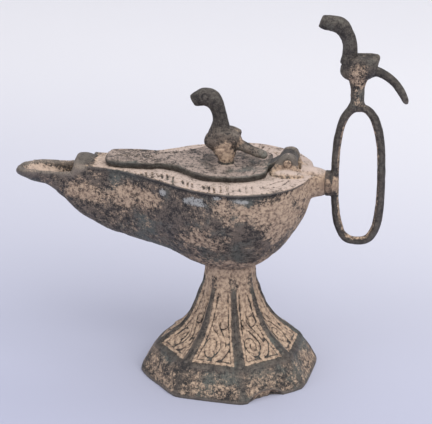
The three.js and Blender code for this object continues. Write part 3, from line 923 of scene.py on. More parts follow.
@dataclass
class Hull:
    """The boat form of the bowl: sections along its length, as shares of its sizes."""

    nozzle_reach: float = 97.0
    back_reach: float = 36.5
    beam: float = 62.0
    depth: float = 47.8
    wall: float = 2.2
    channel_share: float = 0.262
    least_half: float = 0.3
    fine: int = 600
    stations: tuple[tuple[float, float, float], ...] = (
        (-1, 0.11, 0.172), (-0.98, 0.2, 0.184), (-0.925, 0.252, 0.232), (-0.85, 0.268, 0.27),
        (-0.79, 0.262, 0.375), (-0.715, 0.262, 0.522), (-0.64, 0.262, 0.618), (-0.56, 0.29, 0.69),
        (-0.42, 0.425, 0.765), (-0.28, 0.645, 0.835), (-0.155, 0.845, 0.94), (-0.04, 0.975, 0.995),
        (0.15, 1, 0.995), (0.36, 0.955, 0.935), (0.56, 0.86, 0.82), (0.74, 0.725, 0.668),
        (0.87, 0.545, 0.49), (0.96, 0.34, 0.33), (1, 0.17, 0.24))

    def line(self, t: np.ndarray) -> np.ndarray:
        """Place, half width and depth of the hull at shares t of the way from tip to back.

        Args:
            t: shares of the way, from 0 to 1.

        Returns:
            Rows of x, half width and depth.
        """
        table = np.array(self.stations, float)
        reach = np.where(table[:, 0] < 0, self.nozzle_reach, self.back_reach)
        return spline(table * gathered(reach, self.beam / 2, self.depth), t)

    def body(self, inset: float, top: float, steps: int, sides: int) -> Surface:
        """The hull as a filled body: each section is half an ellipse under a flat line.

        Args:
            inset: how far inside the outer skin the body lies.
            top: height of its flat top.
            steps: sections along the length.
            sides: faces round a section.

        Returns:
            The closed body.
        """
        at = self.line(np.linspace(0, 1, steps))
        reach = np.where(at[:, 0] < 0, self.nozzle_reach, self.back_reach)
        x = at[:, 0] * (1 - inset / reach)
        half = np.maximum(at[:, 1] - inset, self.least_half)
        deep = np.maximum(at[:, 2] - inset - (DECK_Z - top), self.least_half)
        turn = np.linspace(0, math.pi, sides + 1)
        under = gathered(x[:, None], half[:, None] * np.cos(turn), top - deep[:, None] * np.sin(turn))
        across = np.linspace(-1, 1, sides // 2 + 2)[1:-1]
        flat = gathered(x[:, None], half[:, None] * across, top)
        return skin(np.concatenate([under, flat], 1))

    def half_width(self, x: np.ndarray) -> np.ndarray:
        """Half width of the hull at the deck for places along its length."""
        at = self.line(np.linspace(0, 1, self.fine))
        return np.interp(x, at[:, 0], at[:, 1], left=0, right=0)

    def underside(self, x: np.ndarray, y: np.ndarray) -> np.ndarray:
        """Height of the hull's outer skin under a point.

        Args:
            x: places along the lamp.
            y: places across it.

        Returns:
            Heights.
        """
        at = self.line(np.linspace(0, 1, self.fine))
        half = np.interp(x, at[:, 0], at[:, 1])
        deep = np.interp(x, at[:, 0], at[:, 2])
        return DECK_Z - deep * np.sqrt(np.clip(1 - (y / half) ** 2, 0, 1))


@dataclass
class Spade:
    """The lid's outline from above: a tongue, a waist and a disc cut straight at the back."""

    disc_x: float = 1.9
    disc_radius: float = 19.5
    tip_x: float = -55.9
    back_x: float = 17.8
    tongue_half: float = 8.8
    waist_half: float = 7.4

    def half_width(self, x: np.ndarray, inset: float = 0.0) -> np.ndarray:
        """Half width of the outline at places along it, drawn in by an inset.

        Args:
            x: places along the lamp.
            inset: how far inside the outline.

        Returns:
            Half widths, 0 outside it.
        """
        tip = self.tip_x + inset
        span = self.disc_x - tip
        radius = self.disc_radius - inset
        tongue, waist = self.tongue_half - inset, self.waist_half - inset
        side = np.array([
            (0, 0.02), (0.012, tongue * 0.5), (0.075, tongue * 0.88), (0.24, tongue),
            (0.35, tongue * 0.98), (0.44, waist), (0.53, waist + radius * 0.05),
            (0.655, radius * 0.66), (0.76, radius * 0.9), (0.87, radius * 0.985),
            (0.96, radius * 0.999)])
        curve = spline(side, np.linspace(0, 1, 400))
        share = (x - tip) / span
        front = np.interp(share, curve[:, 0], curve[:, 1], left=0)
        disc = np.sqrt(np.clip(radius ** 2 - (x - self.disc_x) ** 2, 0, None))
        return np.where(share < 0.95, front, np.where(x < self.disc_x, np.maximum(front, disc), disc))

    def outline(self, inset: float, count: int) -> np.ndarray:
        """The outline as a closed loop of points with two columns, from the tip round +Y.

        Args:
            inset: how far inside the outline.
            count: how many points.

        Returns:
            Rows of x and y.
        """
        span = self.back_x - self.tip_x - 2 * inset
        fine = self.tip_x + inset + span * (1 - np.cos(np.linspace(0, math.pi, 900))) / 2
        upper = np.stack([fine, np.maximum(self.half_width(fine, inset), 0.05)], 1)
        back = np.stack([np.full(60, upper[-1, 0]), np.linspace(upper[-1, 1], 0, 60)], 1)
        side = np.vstack([upper, back[1:]])
        return even_loop(mirrored(side), count)


def mirrored(side: np.ndarray) -> np.ndarray:
    """A closed loop from its +Y side: the side, then its mirror back to the start."""
    return np.vstack([side, side[::-1][1:-1] * (1, -1)])


def even_loop(loop: np.ndarray, count: int) -> np.ndarray:
    """Points spread evenly round a closed polyline.

    Args:
        loop: corners, rows of two columns.
        count: how many points.

    Returns:
        Rows of two columns, from the first corner on.
    """
    closed = np.vstack([loop, loop[:1]])
    run = np.concatenate([[0], np.cumsum(np.linalg.norm(np.diff(closed, axis=0), axis=1))])
    want = np.linspace(0, run[-1], count, endpoint=False)
    return np.stack([np.interp(want, run, closed[:, k]) for k in range(2)], 1)


def stub_ring(x: np.ndarray, grow: np.ndarray, sides: int = 40) -> np.ndarray:
    """Upright ovals across the line of the stub, each larger than the stub by its growth.

    Args:
        x: where each oval stands.
        grow: its growth over the stub.
        sides: points round it.

    Returns:
        Rings for skin().
    """
    turn = circle(sides)
    grow = grow[:, None]
    return gathered(x[:, None], (STUB_HALF_WIDTH + grow) * np.cos(turn),
                    STUB_Z + (STUB_HALF_HEIGHT + grow) * np.sin(turn))


@dataclass
class Bowl:
    """The bowl casting: hull, deck, bridge, lugs and stub."""

    hull: Hull
    spade: Spade
    deck_thick: float = 2.4
    lip: float = 1.5
    lid_rest: float = 3.8
    bridge_x: float = -65.6
    bridge_length: float = 9.2
    bridge_height: float = 2.0
    bridge_round: float = 3.4
    trough_drop: float = 3.7
    tip_drop: float = 6.3
    rim_fall: tuple[tuple[float, float], ...] = (
        (0, 0), (0.6, 0.2), (0.82, 0.48), (0.95, 0.78), (1, 0.84))
    lug_radius: float = 4.2
    lug_back: float = 5.9
    mound_long: float = 7.8
    mound_half: float = 3.4
    mound_high: float = 2.6
    voxel: float = 0.76
    stroke_gaps: tuple[float, float] = (2.1, 3.1)
    stroke_left_out: float = 0.14
    almond: tuple[tuple[float, float], ...] = ((17.0, 22.4), (22.7, 17.4), (28.0, 11.2))
    cast_skin: CastSkin = CastSkin(
        seed=3, sway=0.45, lumps=0.2, pits=0.3, soil_up=0.12, soil_base=0.34)
    earth_patches: tuple[Patch, ...] = (
        Patch(24, 84, 10, 11), Patch(6, 89, 14, 6), Patch(-8, 72, 14, 8), Patch(4, 56, 18, 5),
        Patch(-65, 85, 9, 5), Patch(-43, 85, 14, 6), Patch(38, 92, 6, 7))
    dark_patches: tuple[Patch, ...] = (
        Patch(12, 73, 9, 10), Patch(-24, 80, 10, 12), Patch(-2, 82, 4, 8), Patch(-58, 90, 8, 4))
    chalk_patches: tuple[Patch, ...] = (
        Patch(-12, 91.0, 7, 3.0), Patch(10, 93.5, 6, 2.2), Patch(-27, 91.5, 3, 2.2),
        Patch(0, 94.5, 4, 1.4))

    def over_trough(self) -> Surface:
        """What is cut away over the trough, so that its rim falls to the tip in a curve.

        Returns:
            The closed body that is taken away.
        """
        start = self.bridge_x - self.bridge_length * 0.35
        end = -self.hull.nozzle_reach - 2
        rim = spline(np.array(self.rim_fall), np.linspace(0, 1, 40))
        x = start + (end - start) * rim[:, 0]
        z = DECK_Z - self.trough_drop - (self.tip_drop - self.trough_drop) * rim[:, 1]
        edge = np.vstack([np.stack([x, z], 1), [(end, DECK_Z + 10), (start, DECK_Z + 10)]])
        side = self.hull.beam / 2
        return skin(np.stack([np.insert(edge, 1, y, axis=1) for y in (-side, side)]))

    def bridge(self) -> Surface:
        """The block across the channel: rounded sections that are lower at the front.

        Returns:
            The closed block.
        """
        foot = self.hull.channel_share * self.hull.beam / 2 + 0.2
        share = np.linspace(-1, 1, 24)
        rise = self.bridge_height * np.interp(share, [-1, -0.72, 0.1, 1], [-0.7, 0.9, 1, 0.25])
        across = np.linspace(-1, 1, 40)
        top = DECK_Z + rise[:, None] - self.bridge_round * np.abs(across) ** 3.2
        x = self.bridge_x + share[:, None] * self.bridge_length / 2
        under = DECK_Z - self.trough_drop - 2
        rings = gathered(x, foot * across, top)
        low = gathered(x, foot * np.array([1.0, -1.0]), under)
        return skin(np.concatenate([rings, low], 1))

    def lug(self, low: float, high: float) -> Surface:
        """A hinge ear: round over the pin, with a long slope to the front.

        Args:
            low: where its inner side stands along Y.
            high: where its outer side stands along Y.

        Returns:
            The closed ear, a stack of outlines drawn in towards its two sides.
        """
        front = self.spade.back_x + 0.6
        arc = np.linspace(0, math.pi * 0.78, 26)
        edge = np.vstack([
            [(front, DECK_Z - 1), (HINGE_X + self.lug_back, DECK_Z - 1)],
            np.stack([HINGE_X + self.lug_radius * np.cos(arc), HINGE_Z + self.lug_radius * np.sin(arc)], 1),
            [(front, DECK_Z + 1)]])
        slices = ((low, 0.4), (low + 0.5, 0), (high - 0.9, 0), (high - 0.25, 0.45), (high, 1.1))
        centre = np.array([HINGE_X - 1, DECK_Z + 2])
        away = np.linalg.norm(edge - centre, axis=1, keepdims=True)
        return skin(np.stack([np.insert(centre + (edge - centre) * (1 - less / away), 1, y, axis=1)
                              for y, less in slices]))

    def mound(self, side: float) -> Surface:
        """The low mound that a lug grows out of, an ellipsoid on the +Y or -Y side.

        Args:
            side: 1 for the +Y side, -1 for the other.

        Returns:
            The closed mound.
        """
        turn = circle(48)
        rise = np.linspace(-0.5 * math.pi, 0.5 * math.pi, 20)[:, None]
        middle = side * (KNUCKLE_HALF + GAP + self.mound_half)
        return skin(gathered(
            HINGE_X + self.mound_long * np.cos(rise) * np.cos(turn),
            middle + self.mound_half * np.cos(rise) * np.sin(turn),
            DECK_Z + self.mound_high * np.sin(rise)))

    def stub(self) -> Surface:
        """The stub that the handle is brazed to, swelling into the hull.

        Returns:
            The closed stub.
        """
        back = self.hull.back_reach
        x = np.linspace(back - 5, STUB_END_X, 24)
        grow = np.interp(x, [back - 5, back, back + 4, STUB_END_X], [1.9, 1.5, 0.8, 0.0])
        return skin(stub_ring(x, grow))

    def deck_edge(self, x: np.ndarray) -> np.ndarray:
        """Half width of the deck: the hull's and a lip, thin at the front, full from the middle."""
        return self.hull.half_width(x) + self.lip * (0.3 + 0.7 * smoothstep(-52.0, -12.0, x))

    def deck(self) -> Surface:
        """The deck as a ring: a flat band from the filling hole out to a thin, sloped lip.

        Each ring lies between the hole's outline and the deck's edge by a share, out along the
        top, down over the lip and back below.

        Returns:
            The closed ring.
        """
        points, top_rings, under_rings = 900, 30, 8
        inner = self.spade.outline(self.lid_rest, points)
        back_x = self.hull.back_reach
        x = np.linspace(self.bridge_x + self.bridge_length / 3, back_x, 700)
        upper = np.stack([x, self.deck_edge(x)], 1)
        back = np.stack([np.full(40, back_x + self.lip), np.linspace(5, 0, 40)], 1)
        front = np.stack([np.full(40, x[0]), np.linspace(0, upper[0, 1], 40)], 1)
        outer = even_loop(mirrored(np.vstack([front[:-1], upper, back[1:]])), points)
        share = np.concatenate([np.linspace(0, 0.985, top_rings), [1.0, 1.0, 1.0, 0.93],
                                np.linspace(0.85, 0, under_rings), [0.0, 0.0]])
        drop = np.concatenate([np.zeros(top_rings), [0.15, 0.5, 0.9, 1.7],
                               np.full(under_rings, self.deck_thick),
                               [self.deck_thick * 0.6, self.deck_thick * 0.3]])
        flat = inner[None] + (outer - inner)[None] * share[:, None, None]
        return skin(gathered(flat[..., 0], flat[..., 1], (DECK_Z - drop)[:, None]), loop=True)

    def strokes(self) -> list[np.ndarray]:
        """Cut lines of the deck, as (x, y): slanting strokes, an edge line and an almond.

        The strokes are as wide apart, long and slanted as a seeded draw says, all lean one way
        and none meets the next.

        Returns:
            Polylines of (x, y).
        """
        rng = np.random.default_rng(41)
        made = []
        for sign in (-1.0, 1.0):
            at = -46.0
            while at < 14.0:
                x = np.array([at, at + 1.0])
                low, high = self.spade.half_width(x)[0], self.deck_edge(x)[0]
                slope = np.diff(self.deck_edge(x))[0]
                start, end, lean = rng.uniform(0.2, 0.42), rng.uniform(0.62, 0.82), rng.uniform(0.35, 0.8)
                across = low + np.array([start, end]) * (high - low)
                if high - low > 3.0 and rng.random() > self.stroke_left_out:
                    along = np.array([-lean, lean])
                    made.append(np.stack([at + along, sign * (across + slope * along)], 1))
                at += rng.uniform(*self.stroke_gaps)
            edge_x = np.linspace(-50, 31, 160)
            made.append(np.stack([edge_x, sign * (self.deck_edge(edge_x) - 1.0)], 1))
            run = np.linspace(0, 1, 24)
            path = spline(np.array(self.almond), run)
            for bow in (-1, 1):
                made.append((path + bow * 2.1 * np.sin(run * math.pi)[:, None] * (0.7, 0.7)) * (1, sign))
        return made

    def cast(self) -> bpy.types.Object:
        """Joins what stands on the hull, hollows it, fuses it and lays the deck on it.

        Returns:
            The object, in millimetres.
        """
        obj = make_object("lamp_bowl", self.hull.body(0, DECK_Z - 0.7, 260, 90))
        work(obj, Cut.TAKE, [self.over_trough()])
        outer, inner = KNUCKLE_HALF + GAP + LUG_THICK, KNUCKLE_HALF + GAP
        near_lug, far_lug = self.lug(inner, outer), self.lug(inner, outer)
        near_lug = Surface(near_lug.verts * (1, -1, 1), turned_over(near_lug.faces))
        work(obj, Cut.JOIN, [self.bridge(), far_lug, self.mound(1), self.mound(-1), self.stub(), near_lug])
        inside = self.hull.body(self.hull.wall, DECK_Z - self.deck_thick, 160, 48)
        hole = self.spade.outline(self.lid_rest, 400)
        opening = skin(np.stack([np.insert(hole, 2, z, axis=1) for z in (DECK_Z - 6, DECK_Z + 3)]))
        work(obj, Cut.TAKE, [inside, opening])
        melt(obj, self.voxel, 2)
        work(obj, Cut.JOIN, [self.deck()])
        work(obj, Cut.TAKE, [hinge_bar(PIN_RADIUS + GAP, 9)])
        return obj

    def groove(self, points: np.ndarray) -> np.ndarray:
        """Share of a cut line at each point of the deck's top."""
        top = smoothstep(DECK_Z - 0.5, DECK_Z - 0.15, points[:, 2]) * (points[:, 2] < DECK_Z + 0.6)
        return top * falling(0.25, 0.7, stroke_distance(points[:, :2], self.strokes()))

    def weather(self, coat: Coat) -> None:
        """Lays dust on the deck, soil and chalk on the sides, bares the rubbed edges, and paints a shadow
        line under the deck's lip.

        Args:
            coat: the bowl's coat, which is changed.
        """
        x, _, z = coat.points.T
        up = coat.normals[:, 2]
        on_deck = smoothstep(DECK_Z - 0.75, DECK_Z - 0.3, z) * smoothstep(0.55, 0.85, up)
        behind = smoothstep(self.bridge_x + 3.5, self.bridge_x + 7, x)
        behind *= 0.62 + 0.38 * smoothstep(-52, -30, x)
        trough = falling(-72, -68, x) * smoothstep(0.1, 0.5, up)
        lug_top = smoothstep(DECK_Z + 4.5, DECK_Z + 6.5, z)
        # Painted shadow: the lip's side and underside are darkened for the shade under the deck's overhang.
        lip = smoothstep(DECK_Z - 3.0, DECK_Z - 2.3, z) * falling(DECK_Z - 0.5, DECK_Z - 0.2, z)
        lip *= falling(0.3, 0.6, up) * behind * falling(30, 34, x)
        bridge_top = smoothstep(DECK_Z - 0.4, DECK_Z + 0.6, z) * falling(-63, -60, x)

        coat.dust = np.maximum(on_deck * behind, 0.5 * trough)
        coat.earth_and_painted_light += 0.75 * on_deck * behind + 0.24 * trough
        coat.earth_and_painted_light += coat.spots(self.earth_patches, 0.42) - coat.spots(self.dark_patches, 0.22)
        coat.earth_and_painted_light += 0.22 * smoothstep(5, 30, x) * smoothstep(50, 62, z) + 0.35 * smoothstep(34, 40, x)
        coat.earth_and_painted_light += 0.3 * smoothstep(DECK_Z + 0.3, DECK_Z + 1.5, z) * (x > 15) - 0.7 * lug_top
        coat.pale += coat.spots(self.chalk_patches, 0.66)
        coat.rust = 0.7 * falling(1.0, 5.0, np.hypot(x - STUB_END_X, z - STUB_Z - 1))
        # The lip's share of the dark here is painted shadow; the lug tops, the tip and the bridge are
        # uncrusted metal.
        coat.bare_and_shade = 0.95 * lip + 0.85 * lug_top + 0.8 * falling(-95, -90, x) + 0.7 * bridge_top

    def build(self) -> bpy.types.Object:
        """Casts the bowl and gives it its skin.

        Returns:
            The object, in millimetres.
        """
        obj = self.cast()
        coat = self.cast_skin.apply(obj.data, self.groove, groove_depth=0.4)
        self.weather(coat)
        coat.store(obj.data)
        return obj


@dataclass
class Unrolled:
    """The foot's outer face laid out flat: rows are heights, columns go once round.

    turn is a column's direction and part its place across its side, from -1 to 1. The others
    hold a number for each point: height, distance of a corner from the axis, half the width
    of a side, place across the side and distance to its nearest corner.
    """

    turn: np.ndarray
    part: np.ndarray
    z: np.ndarray
    radius: np.ndarray
    half: np.ndarray
    across: np.ndarray
    border: np.ndarray


@dataclass
class Relief:
    """Shares from 0 to 1 of what is worked into the foot's face, one for each point."""

    framed: np.ndarray
    sunk: np.ndarray
    inside: np.ndarray
    vine: np.ndarray
    dark: np.ndarray
    crest: np.ndarray
    bite: np.ndarray


@dataclass
class Foot:
    """The foot casting: eight sides with ribs and sunk scroll panels, hollow below."""

    hull: Hull
    radius: float = 41.6
    neck: float = 11.4
    turn: float = math.radians(17)
    sides: int = 8
    columns: int = 600
    corner_sharpness: float = 24.0
    rim: float = 4.6
    wall: float = 2.8
    band_top: float = 13.0
    panel_top: float = 45.5
    top: float = 54.5
    scroll_bays: int = 4
    scroll_room: float = 0.81
    cuts_fade: tuple[float, float] = (27.0, 35.0)
    panel_depth: float = 0.45
    vine_height: float = 0.3
    cut_depth: float = 0.6
    chip_side: int = 6
    chip_half: float = 8.5
    chip_high: float = 3.6
    chip_depth: float = 3.0
    dent_side: int = 3
    dent: float = 3.6
    profile: tuple[tuple[float, float], ...] = (
        (0, 0.992), (0.9, 1.0), (2.2, 0.985), (7.8, 0.875), (11.4, 0.79), (13.0, 0.765),
        (14.6, 0.702), (18, 0.549), (21.5, 0.4), (26, 0.27), (31, 0.184), (36.5, 0.108),
        (43.5, 0.032), (45.5, 0.02), (50.2, 0.002), (56, 0))
    hollow_heights: tuple[float, ...] = (0, 4, 8, 13.0, 18, 21.5, 26, 31, 36.5, 41.5, 46.5)
    cast_skin: CastSkin = CastSkin(
        seed=11, sway=0.5, lumps=0.16, pits=0.26, soil_up=0.1, soil_base=0.48)

    @property
    def corner(self) -> float:
        """Half the angle that one side takes up."""
        return math.pi / self.sides

    def corner_radius(self, z: np.ndarray) -> np.ndarray:
        """Distance from the axis to a corner at a height."""
        table = np.array(self.profile)
        return self.neck + np.interp(z, table[:, 0], table[:, 1]) * (self.radius - self.neck)

    def room(self, z: np.ndarray) -> np.ndarray:
        """Half the width that a panel leaves for its scroll at a height."""
        half = self.corner_radius(z) * math.sin(self.corner)
        return np.maximum(half * self.scroll_room - 2.0, 0.8)

    def scroll_lines(self) -> list[np.ndarray]:
        """The relief of one panel: a swinging stem with a curl and a leaf in each bay.

        Returns:
            Polylines of (place across the side, height).
        """
        low, high = self.band_top + 2.6, self.panel_top - 2.0

        def height(share: np.ndarray | float) -> np.ndarray | float:
            """Height of a share of the panel: bays grow towards the ground."""
            return high - (high - low) * (1 - share) ** 1.4

        s = np.linspace(0, 1, 120)
        z = height(s)
        made = [np.stack([0.5 * self.room(z) * np.sin(s * self.scroll_bays * math.pi), z], 1)]
        curl_turn, curl_share = np.linspace(-0.6 * math.pi, 1.4 * math.pi, 40), np.linspace(1.0, 0.25, 40)
        leaf = np.linspace(0, 1, 10)
        for bay in range(self.scroll_bays):
            sign = -1 if bay % 2 == 0 else 1
            bottom, top = height(bay / self.scroll_bays), height((bay + 1) / self.scroll_bays)
            mid = 0.55 * bottom + 0.45 * top
            space = float(self.room(np.array([mid]))[0])
            reach = min(0.42 * (top - bottom), 0.42 * space) * curl_share
            made.append(np.stack([sign * (0.42 * space + reach * np.cos(curl_turn)),
                                  mid + reach * np.sin(curl_turn)], 1))
            made.append(np.stack([sign * space * (-0.25 - 0.6 * leaf),
                                  top - (top - bottom) * (0.9 - 0.35 * leaf ** 2)], 1))
        return made

    def unrolled(self) -> Unrolled:
        """Lays out the outer face, with rows closer together over the plain band.

        Returns:
            The layout.
        """
        share = np.arange(self.columns) / self.columns
        part = share * self.sides % 1 * 2 - 1
        rows = np.concatenate([np.linspace(0, self.band_top, 34, endpoint=False),
                               np.linspace(self.band_top, self.top, 110)])
        z = np.broadcast_to(rows[:, None], (len(rows), self.columns)).copy()
        radius = self.corner_radius(z)
        half = radius * math.sin(self.corner)
        across = np.tan(part * math.pi / self.sides)[None] / math.tan(self.corner) * half
        return Unrolled(self.turn + share * TAU, part, z, radius, half, across, half - np.abs(across))

    def octagon(self, part: np.ndarray) -> np.ndarray:
        """Outline from above, as a share of the corner radius: sides blended softly at corners.

        It is the power mean of the three nearest sides' lines, so a high sharpness gives a
        straight-sided octagon.

        Args:
            part: places across a side, from -1 to 1.

        Returns:
            One share for each place.
        """
        angle, sharp = part * math.pi / self.sides, self.corner_sharpness
        total = sum(np.cos(angle + step * 2 * self.corner) ** sharp for step in (0, -1, 1))
        return math.cos(self.corner) * total ** (-1 / sharp)

    def chip(self, flat: Unrolled) -> np.ndarray:
        """Share of the chip's depth: half an ellipsoid out of the rim of one side, broken up.

        Args:
            flat: the outer face laid out.

        Returns:
            One share for each point.
        """
        away = flat.turn - (self.turn + (self.chip_side + 0.5) * 2 * self.corner)
        along = 38.0 * np.sin(away) + 3.6
        bite = 1 - (along[None] / self.chip_half) ** 2 - (flat.z / self.chip_high) ** 2
        still = np.zeros(self.columns)
        rough = 1 + 0.3 * fractal(np.stack([along, still, still], 1), 3.0, 2, 5)
        return np.clip(bite, 0, 1) ** 0.5 * (np.cos(away) > 0)[None] * rough[None]

    def relief(self, flat: Unrolled) -> Relief:
        """Works out ribs, sunk panels, scrolls, the cuts beside them, the painted shade in those cuts and
        along the panels' frames, and the chip.

        Args:
            flat: the outer face laid out.

        Returns:
            The shares of each kind of work.
        """
        z = flat.z
        rib = 0.5 + 0.17 * flat.half
        framed = (smoothstep(self.band_top + 0.4, self.band_top + 1.2, z)
                  * falling(self.panel_top - 6, self.panel_top - 1, z))
        depth_in = np.minimum(flat.border - rib, (z - self.band_top - 1.2) * 1.3)
        inside = smoothstep(1.1, 1.5, depth_in) * framed
        places = np.stack([flat.across.ravel(), z.ravel()], 1)
        near = stroke_distance(places, self.scroll_lines()).reshape(z.shape)
        thick = 0.3 + 0.04 * flat.half
        vine = falling(thick * 0.85, thick * 1.2, near)
        solid = gathered(flat.radius * np.cos(flat.turn), flat.radius * np.sin(flat.turn), z)
        broken = smoothstep(-0.55, 0.1, fractal(solid.reshape(-1, 3), 4.0, 2, 91)).reshape(z.shape)
        # Painted shade: the cuts beside the scroll and a line just inside each panel's frame are painted
        # dark for the shade in those recesses, over a shallow real cut.
        cut = bell(near, thick * 1.6, thick * 0.5) * inside * (0.55 + 0.45 * broken)
        cut *= falling(*self.cuts_fade, z)
        frame_cut_and_shade = bell(depth_in, 1.45, 0.4) * framed
        return Relief(
            framed=framed, sunk=smoothstep(-0.1, 0.3, depth_in) * framed, inside=inside, vine=vine,
            dark=np.clip((cut + 0.6 * frame_cut_and_shade) * (1 - vine), 0, 1),
            crest=bell(flat.border, 0, 0.62 * rib), bite=self.chip(flat))

    def outer(self, flat: Unrolled, worked: Relief) -> np.ndarray:
        """The outer face's points, from the ground up to the bowl's underside.

        Args:
            flat: the outer face laid out.
            worked: what is worked into it.

        Returns:
            Rings for skin().
        """
        turn, z = flat.turn, flat.z
        round_rim = np.stack([np.cos(turn) * 30, np.sin(turn) * 30, np.zeros(self.columns)], 1)
        waver = 0.35 * fractal(round_rim, 11.0, 3, 71)[None] * falling(0.0, 5.0, z)
        far = np.arccos(np.cos(turn - (self.turn + self.dent_side * 2 * self.corner)))[None]
        out = flat.radius * self.octagon(flat.part) + waver
        out += worked.crest * (0.25 + 0.65 * worked.framed) - self.panel_depth * worked.sunk
        out += self.vine_height * worked.vine * worked.inside - self.cut_depth * worked.dark
        out -= self.chip_depth * worked.bite + self.dent * bell(far, 0, 0.34) * bell(z, 15.5, 6.5)
        points = gathered(out * np.cos(turn), out * np.sin(turn), z)
        roof = self.hull.underside(points[..., 0], points[..., 1]) + 0.5
        points[..., 2] = np.minimum(z, roof)
        return points

    def hollow(self, flat: Unrolled) -> np.ndarray:
        """The inner face's points: a sharp octagon that stays a wall's thickness inside.

        Args:
            flat: the outer face laid out.

        Returns:
            Rings for skin(), from the ground up.
        """
        z = np.array(self.hollow_heights)
        wall = np.interp(z, [0, self.band_top], [self.rim, self.wall])
        apothem = self.corner_radius(z) * math.cos(self.corner) - wall
        inner = apothem[:, None] / np.cos(flat.part * math.pi / self.sides)
        return gathered(inner * np.cos(flat.turn), inner * np.sin(flat.turn), z[:, None])

    def weather(self, coat: Coat, flat: Unrolled, worked: Relief) -> None:
        """Fills the panels with soil, bares ribs, shoulder and rim, paints the cuts dark as shade, and
        lightens the neck's top partly as painted highlight.

        Args:
            coat: the foot's coat, which is changed.
            flat: the outer face laid out.
            worked: what is worked into it.
        """
        first = self.columns * len(self.hollow_heights)
        shown = slice(first, first + flat.z.size)
        z, framed, crest, dark = flat.z, worked.framed, worked.crest, worked.dark
        middle = falling(0.35, 0.75, np.abs(flat.part))[None]
        # Less soil in the cuts is painted shade.
        soil = 0.78 * worked.sunk - 0.85 * dark - 0.3 * crest * framed
        soil += 0.2 * falling(5.0, self.band_top, z) * (1 - 0.5 * crest)
        soil -= 0.25 * bell(z, self.band_top + 0.2, 1.3)
        # The neck's top is lightened with tan, partly soil and solder and partly a painted highlight that
        # offsets the bowl's shadow.
        soil += 0.2 * smoothstep(40.0, 46.0, z) + 0.4 * smoothstep(47.0, 49.5, z)
        soil += 0.4 * np.minimum(worked.bite, 1) + 0.5 * smoothstep(36.0, 44.0, z) * middle
        bare_and_shade = 0.85 * crest * framed + 0.8 * bell(z, self.band_top + 0.5, 1.2)
        bare_and_shade += 0.7 * falling(0.6, 2.4, z) + 0.5 * crest * falling(self.band_top - 6, self.band_top, z)
        coat.earth_and_painted_light[shown] = 0.6 * coat.earth_and_painted_light[shown] + soil.ravel()
        # The cuts' dark in groove and bare is painted shade in those recesses.
        coat.groove[shown] = 0.5 * dark.ravel()
        coat.bare_and_shade[shown] = np.maximum(bare_and_shade, 0.9 * dark).ravel()

    def build(self) -> bpy.types.Object:
        """Casts the foot as one skin from the roof of its hollow to the bowl.

        Returns:
            The object, in millimetres.
        """
        flat = self.unrolled()
        worked = self.relief(flat)
        rings = np.concatenate([self.hollow(flat)[::-1], self.outer(flat, worked)])
        obj = make_object("lamp_foot", skin(rings))
        coat = self.cast_skin.apply(obj.data, stands=True)
        self.weather(coat, flat, worked)
        coat.store(obj.data)
        return obj


Stations = tuple[tuple[float, float, float, float], ...]


@dataclass
class Bird:
    """A standing bird: where it stands, its height, and its limbs in shares of that height.

    A limb's stations are x, z, half measure in the plane and half measure along Y. The eye is
    its x and z in shares and the radius of its ring in millimetres.
    """

    x: float
    z: float
    height: float
    stem: Stations
    body: Stations
    wing: Stations
    wing_out: float
    tail: Stations
    neck: Stations
    eye: tuple[float, float, float]

    def limbs(self) -> list[Surface]:
        """The bird's limbs, which overlap and are fused later.

        Returns:
            Closed limbs: stem, body, tail, neck and the two wings.
        """
        shift = np.array([self.x, self.z, 0, 0])
        stem, body, tail, neck, wing = (
            limb(np.array(part) * self.height + shift)
            for part in (self.stem, self.body, self.tail, self.neck, self.wing))
        out = self.wing_out * self.height
        return [stem, body, tail, neck, wing.moved((0, out, 0)), wing.moved((0, -out, 0))]

    def cuts(self, points: np.ndarray) -> np.ndarray:
        """Share of a cut line: a ring round the eye on each side of the head.

        Args:
            points: positions, one row each.

        Returns:
            One share for each point.
        """
        along = (points[:, 0] - self.x) / self.height
        up = (points[:, 2] - self.z) / self.height
        away = np.hypot(along - self.eye[0], up - self.eye[1]) * self.height
        return bell(away, self.eye[2], 0.28)


def lid_bird(top: float) -> Bird:
    """The bird on the lid.

    Args:
        top: height that it stands on.

    Returns:
        The bird's measures.
    """
    return Bird(
        -2.2, top, 35.2,
        stem=((0.01, -0.03, 0.11, 0.11), (0.012, 0.05, 0.1, 0.1), (0.008, 0.12, 0.135, 0.115),
              (-0.01, 0.22, 0.165, 0.14)),
        body=((-0.24, 0.36, 0.03, 0.03), (-0.2, 0.335, 0.125, 0.09), (-0.09, 0.315, 0.185, 0.135),
              (0.03, 0.3, 0.175, 0.14), (0.13, 0.285, 0.13, 0.115), (0.19, 0.265, 0.07, 0.07)),
        wing=((-0.13, 0.36, 0.02, 0.02), (-0.06, 0.37, 0.1, 0.045), (0.06, 0.36, 0.1, 0.05),
              (0.165, 0.33, 0.085, 0.04), (0.18, 0.325, 0.05, 0.02)),
        wing_out=0.095,
        tail=((0.08, 0.29, 0.1, 0.08), (0.2, 0.245, 0.07, 0.075), (0.33, 0.19, 0.062, 0.07),
              (0.46, 0.145, 0.056, 0.065), (0.52, 0.125, 0.04, 0.05), (0.535, 0.12, 0.015, 0.02)),
        neck=((-0.075, 0.36, 0.15, 0.1), (-0.06, 0.47, 0.125, 0.09), (-0.06, 0.57, 0.098, 0.08),
              (-0.078, 0.67, 0.092, 0.078), (-0.12, 0.78, 0.108, 0.085), (-0.18, 0.85, 0.124, 0.09),
              (-0.255, 0.862, 0.12, 0.09), (-0.325, 0.838, 0.1, 0.075), (-0.385, 0.812, 0.085, 0.06),
              (-0.408, 0.8, 0.072, 0.05)),
        eye=(-0.24, 0.875, 1.5))


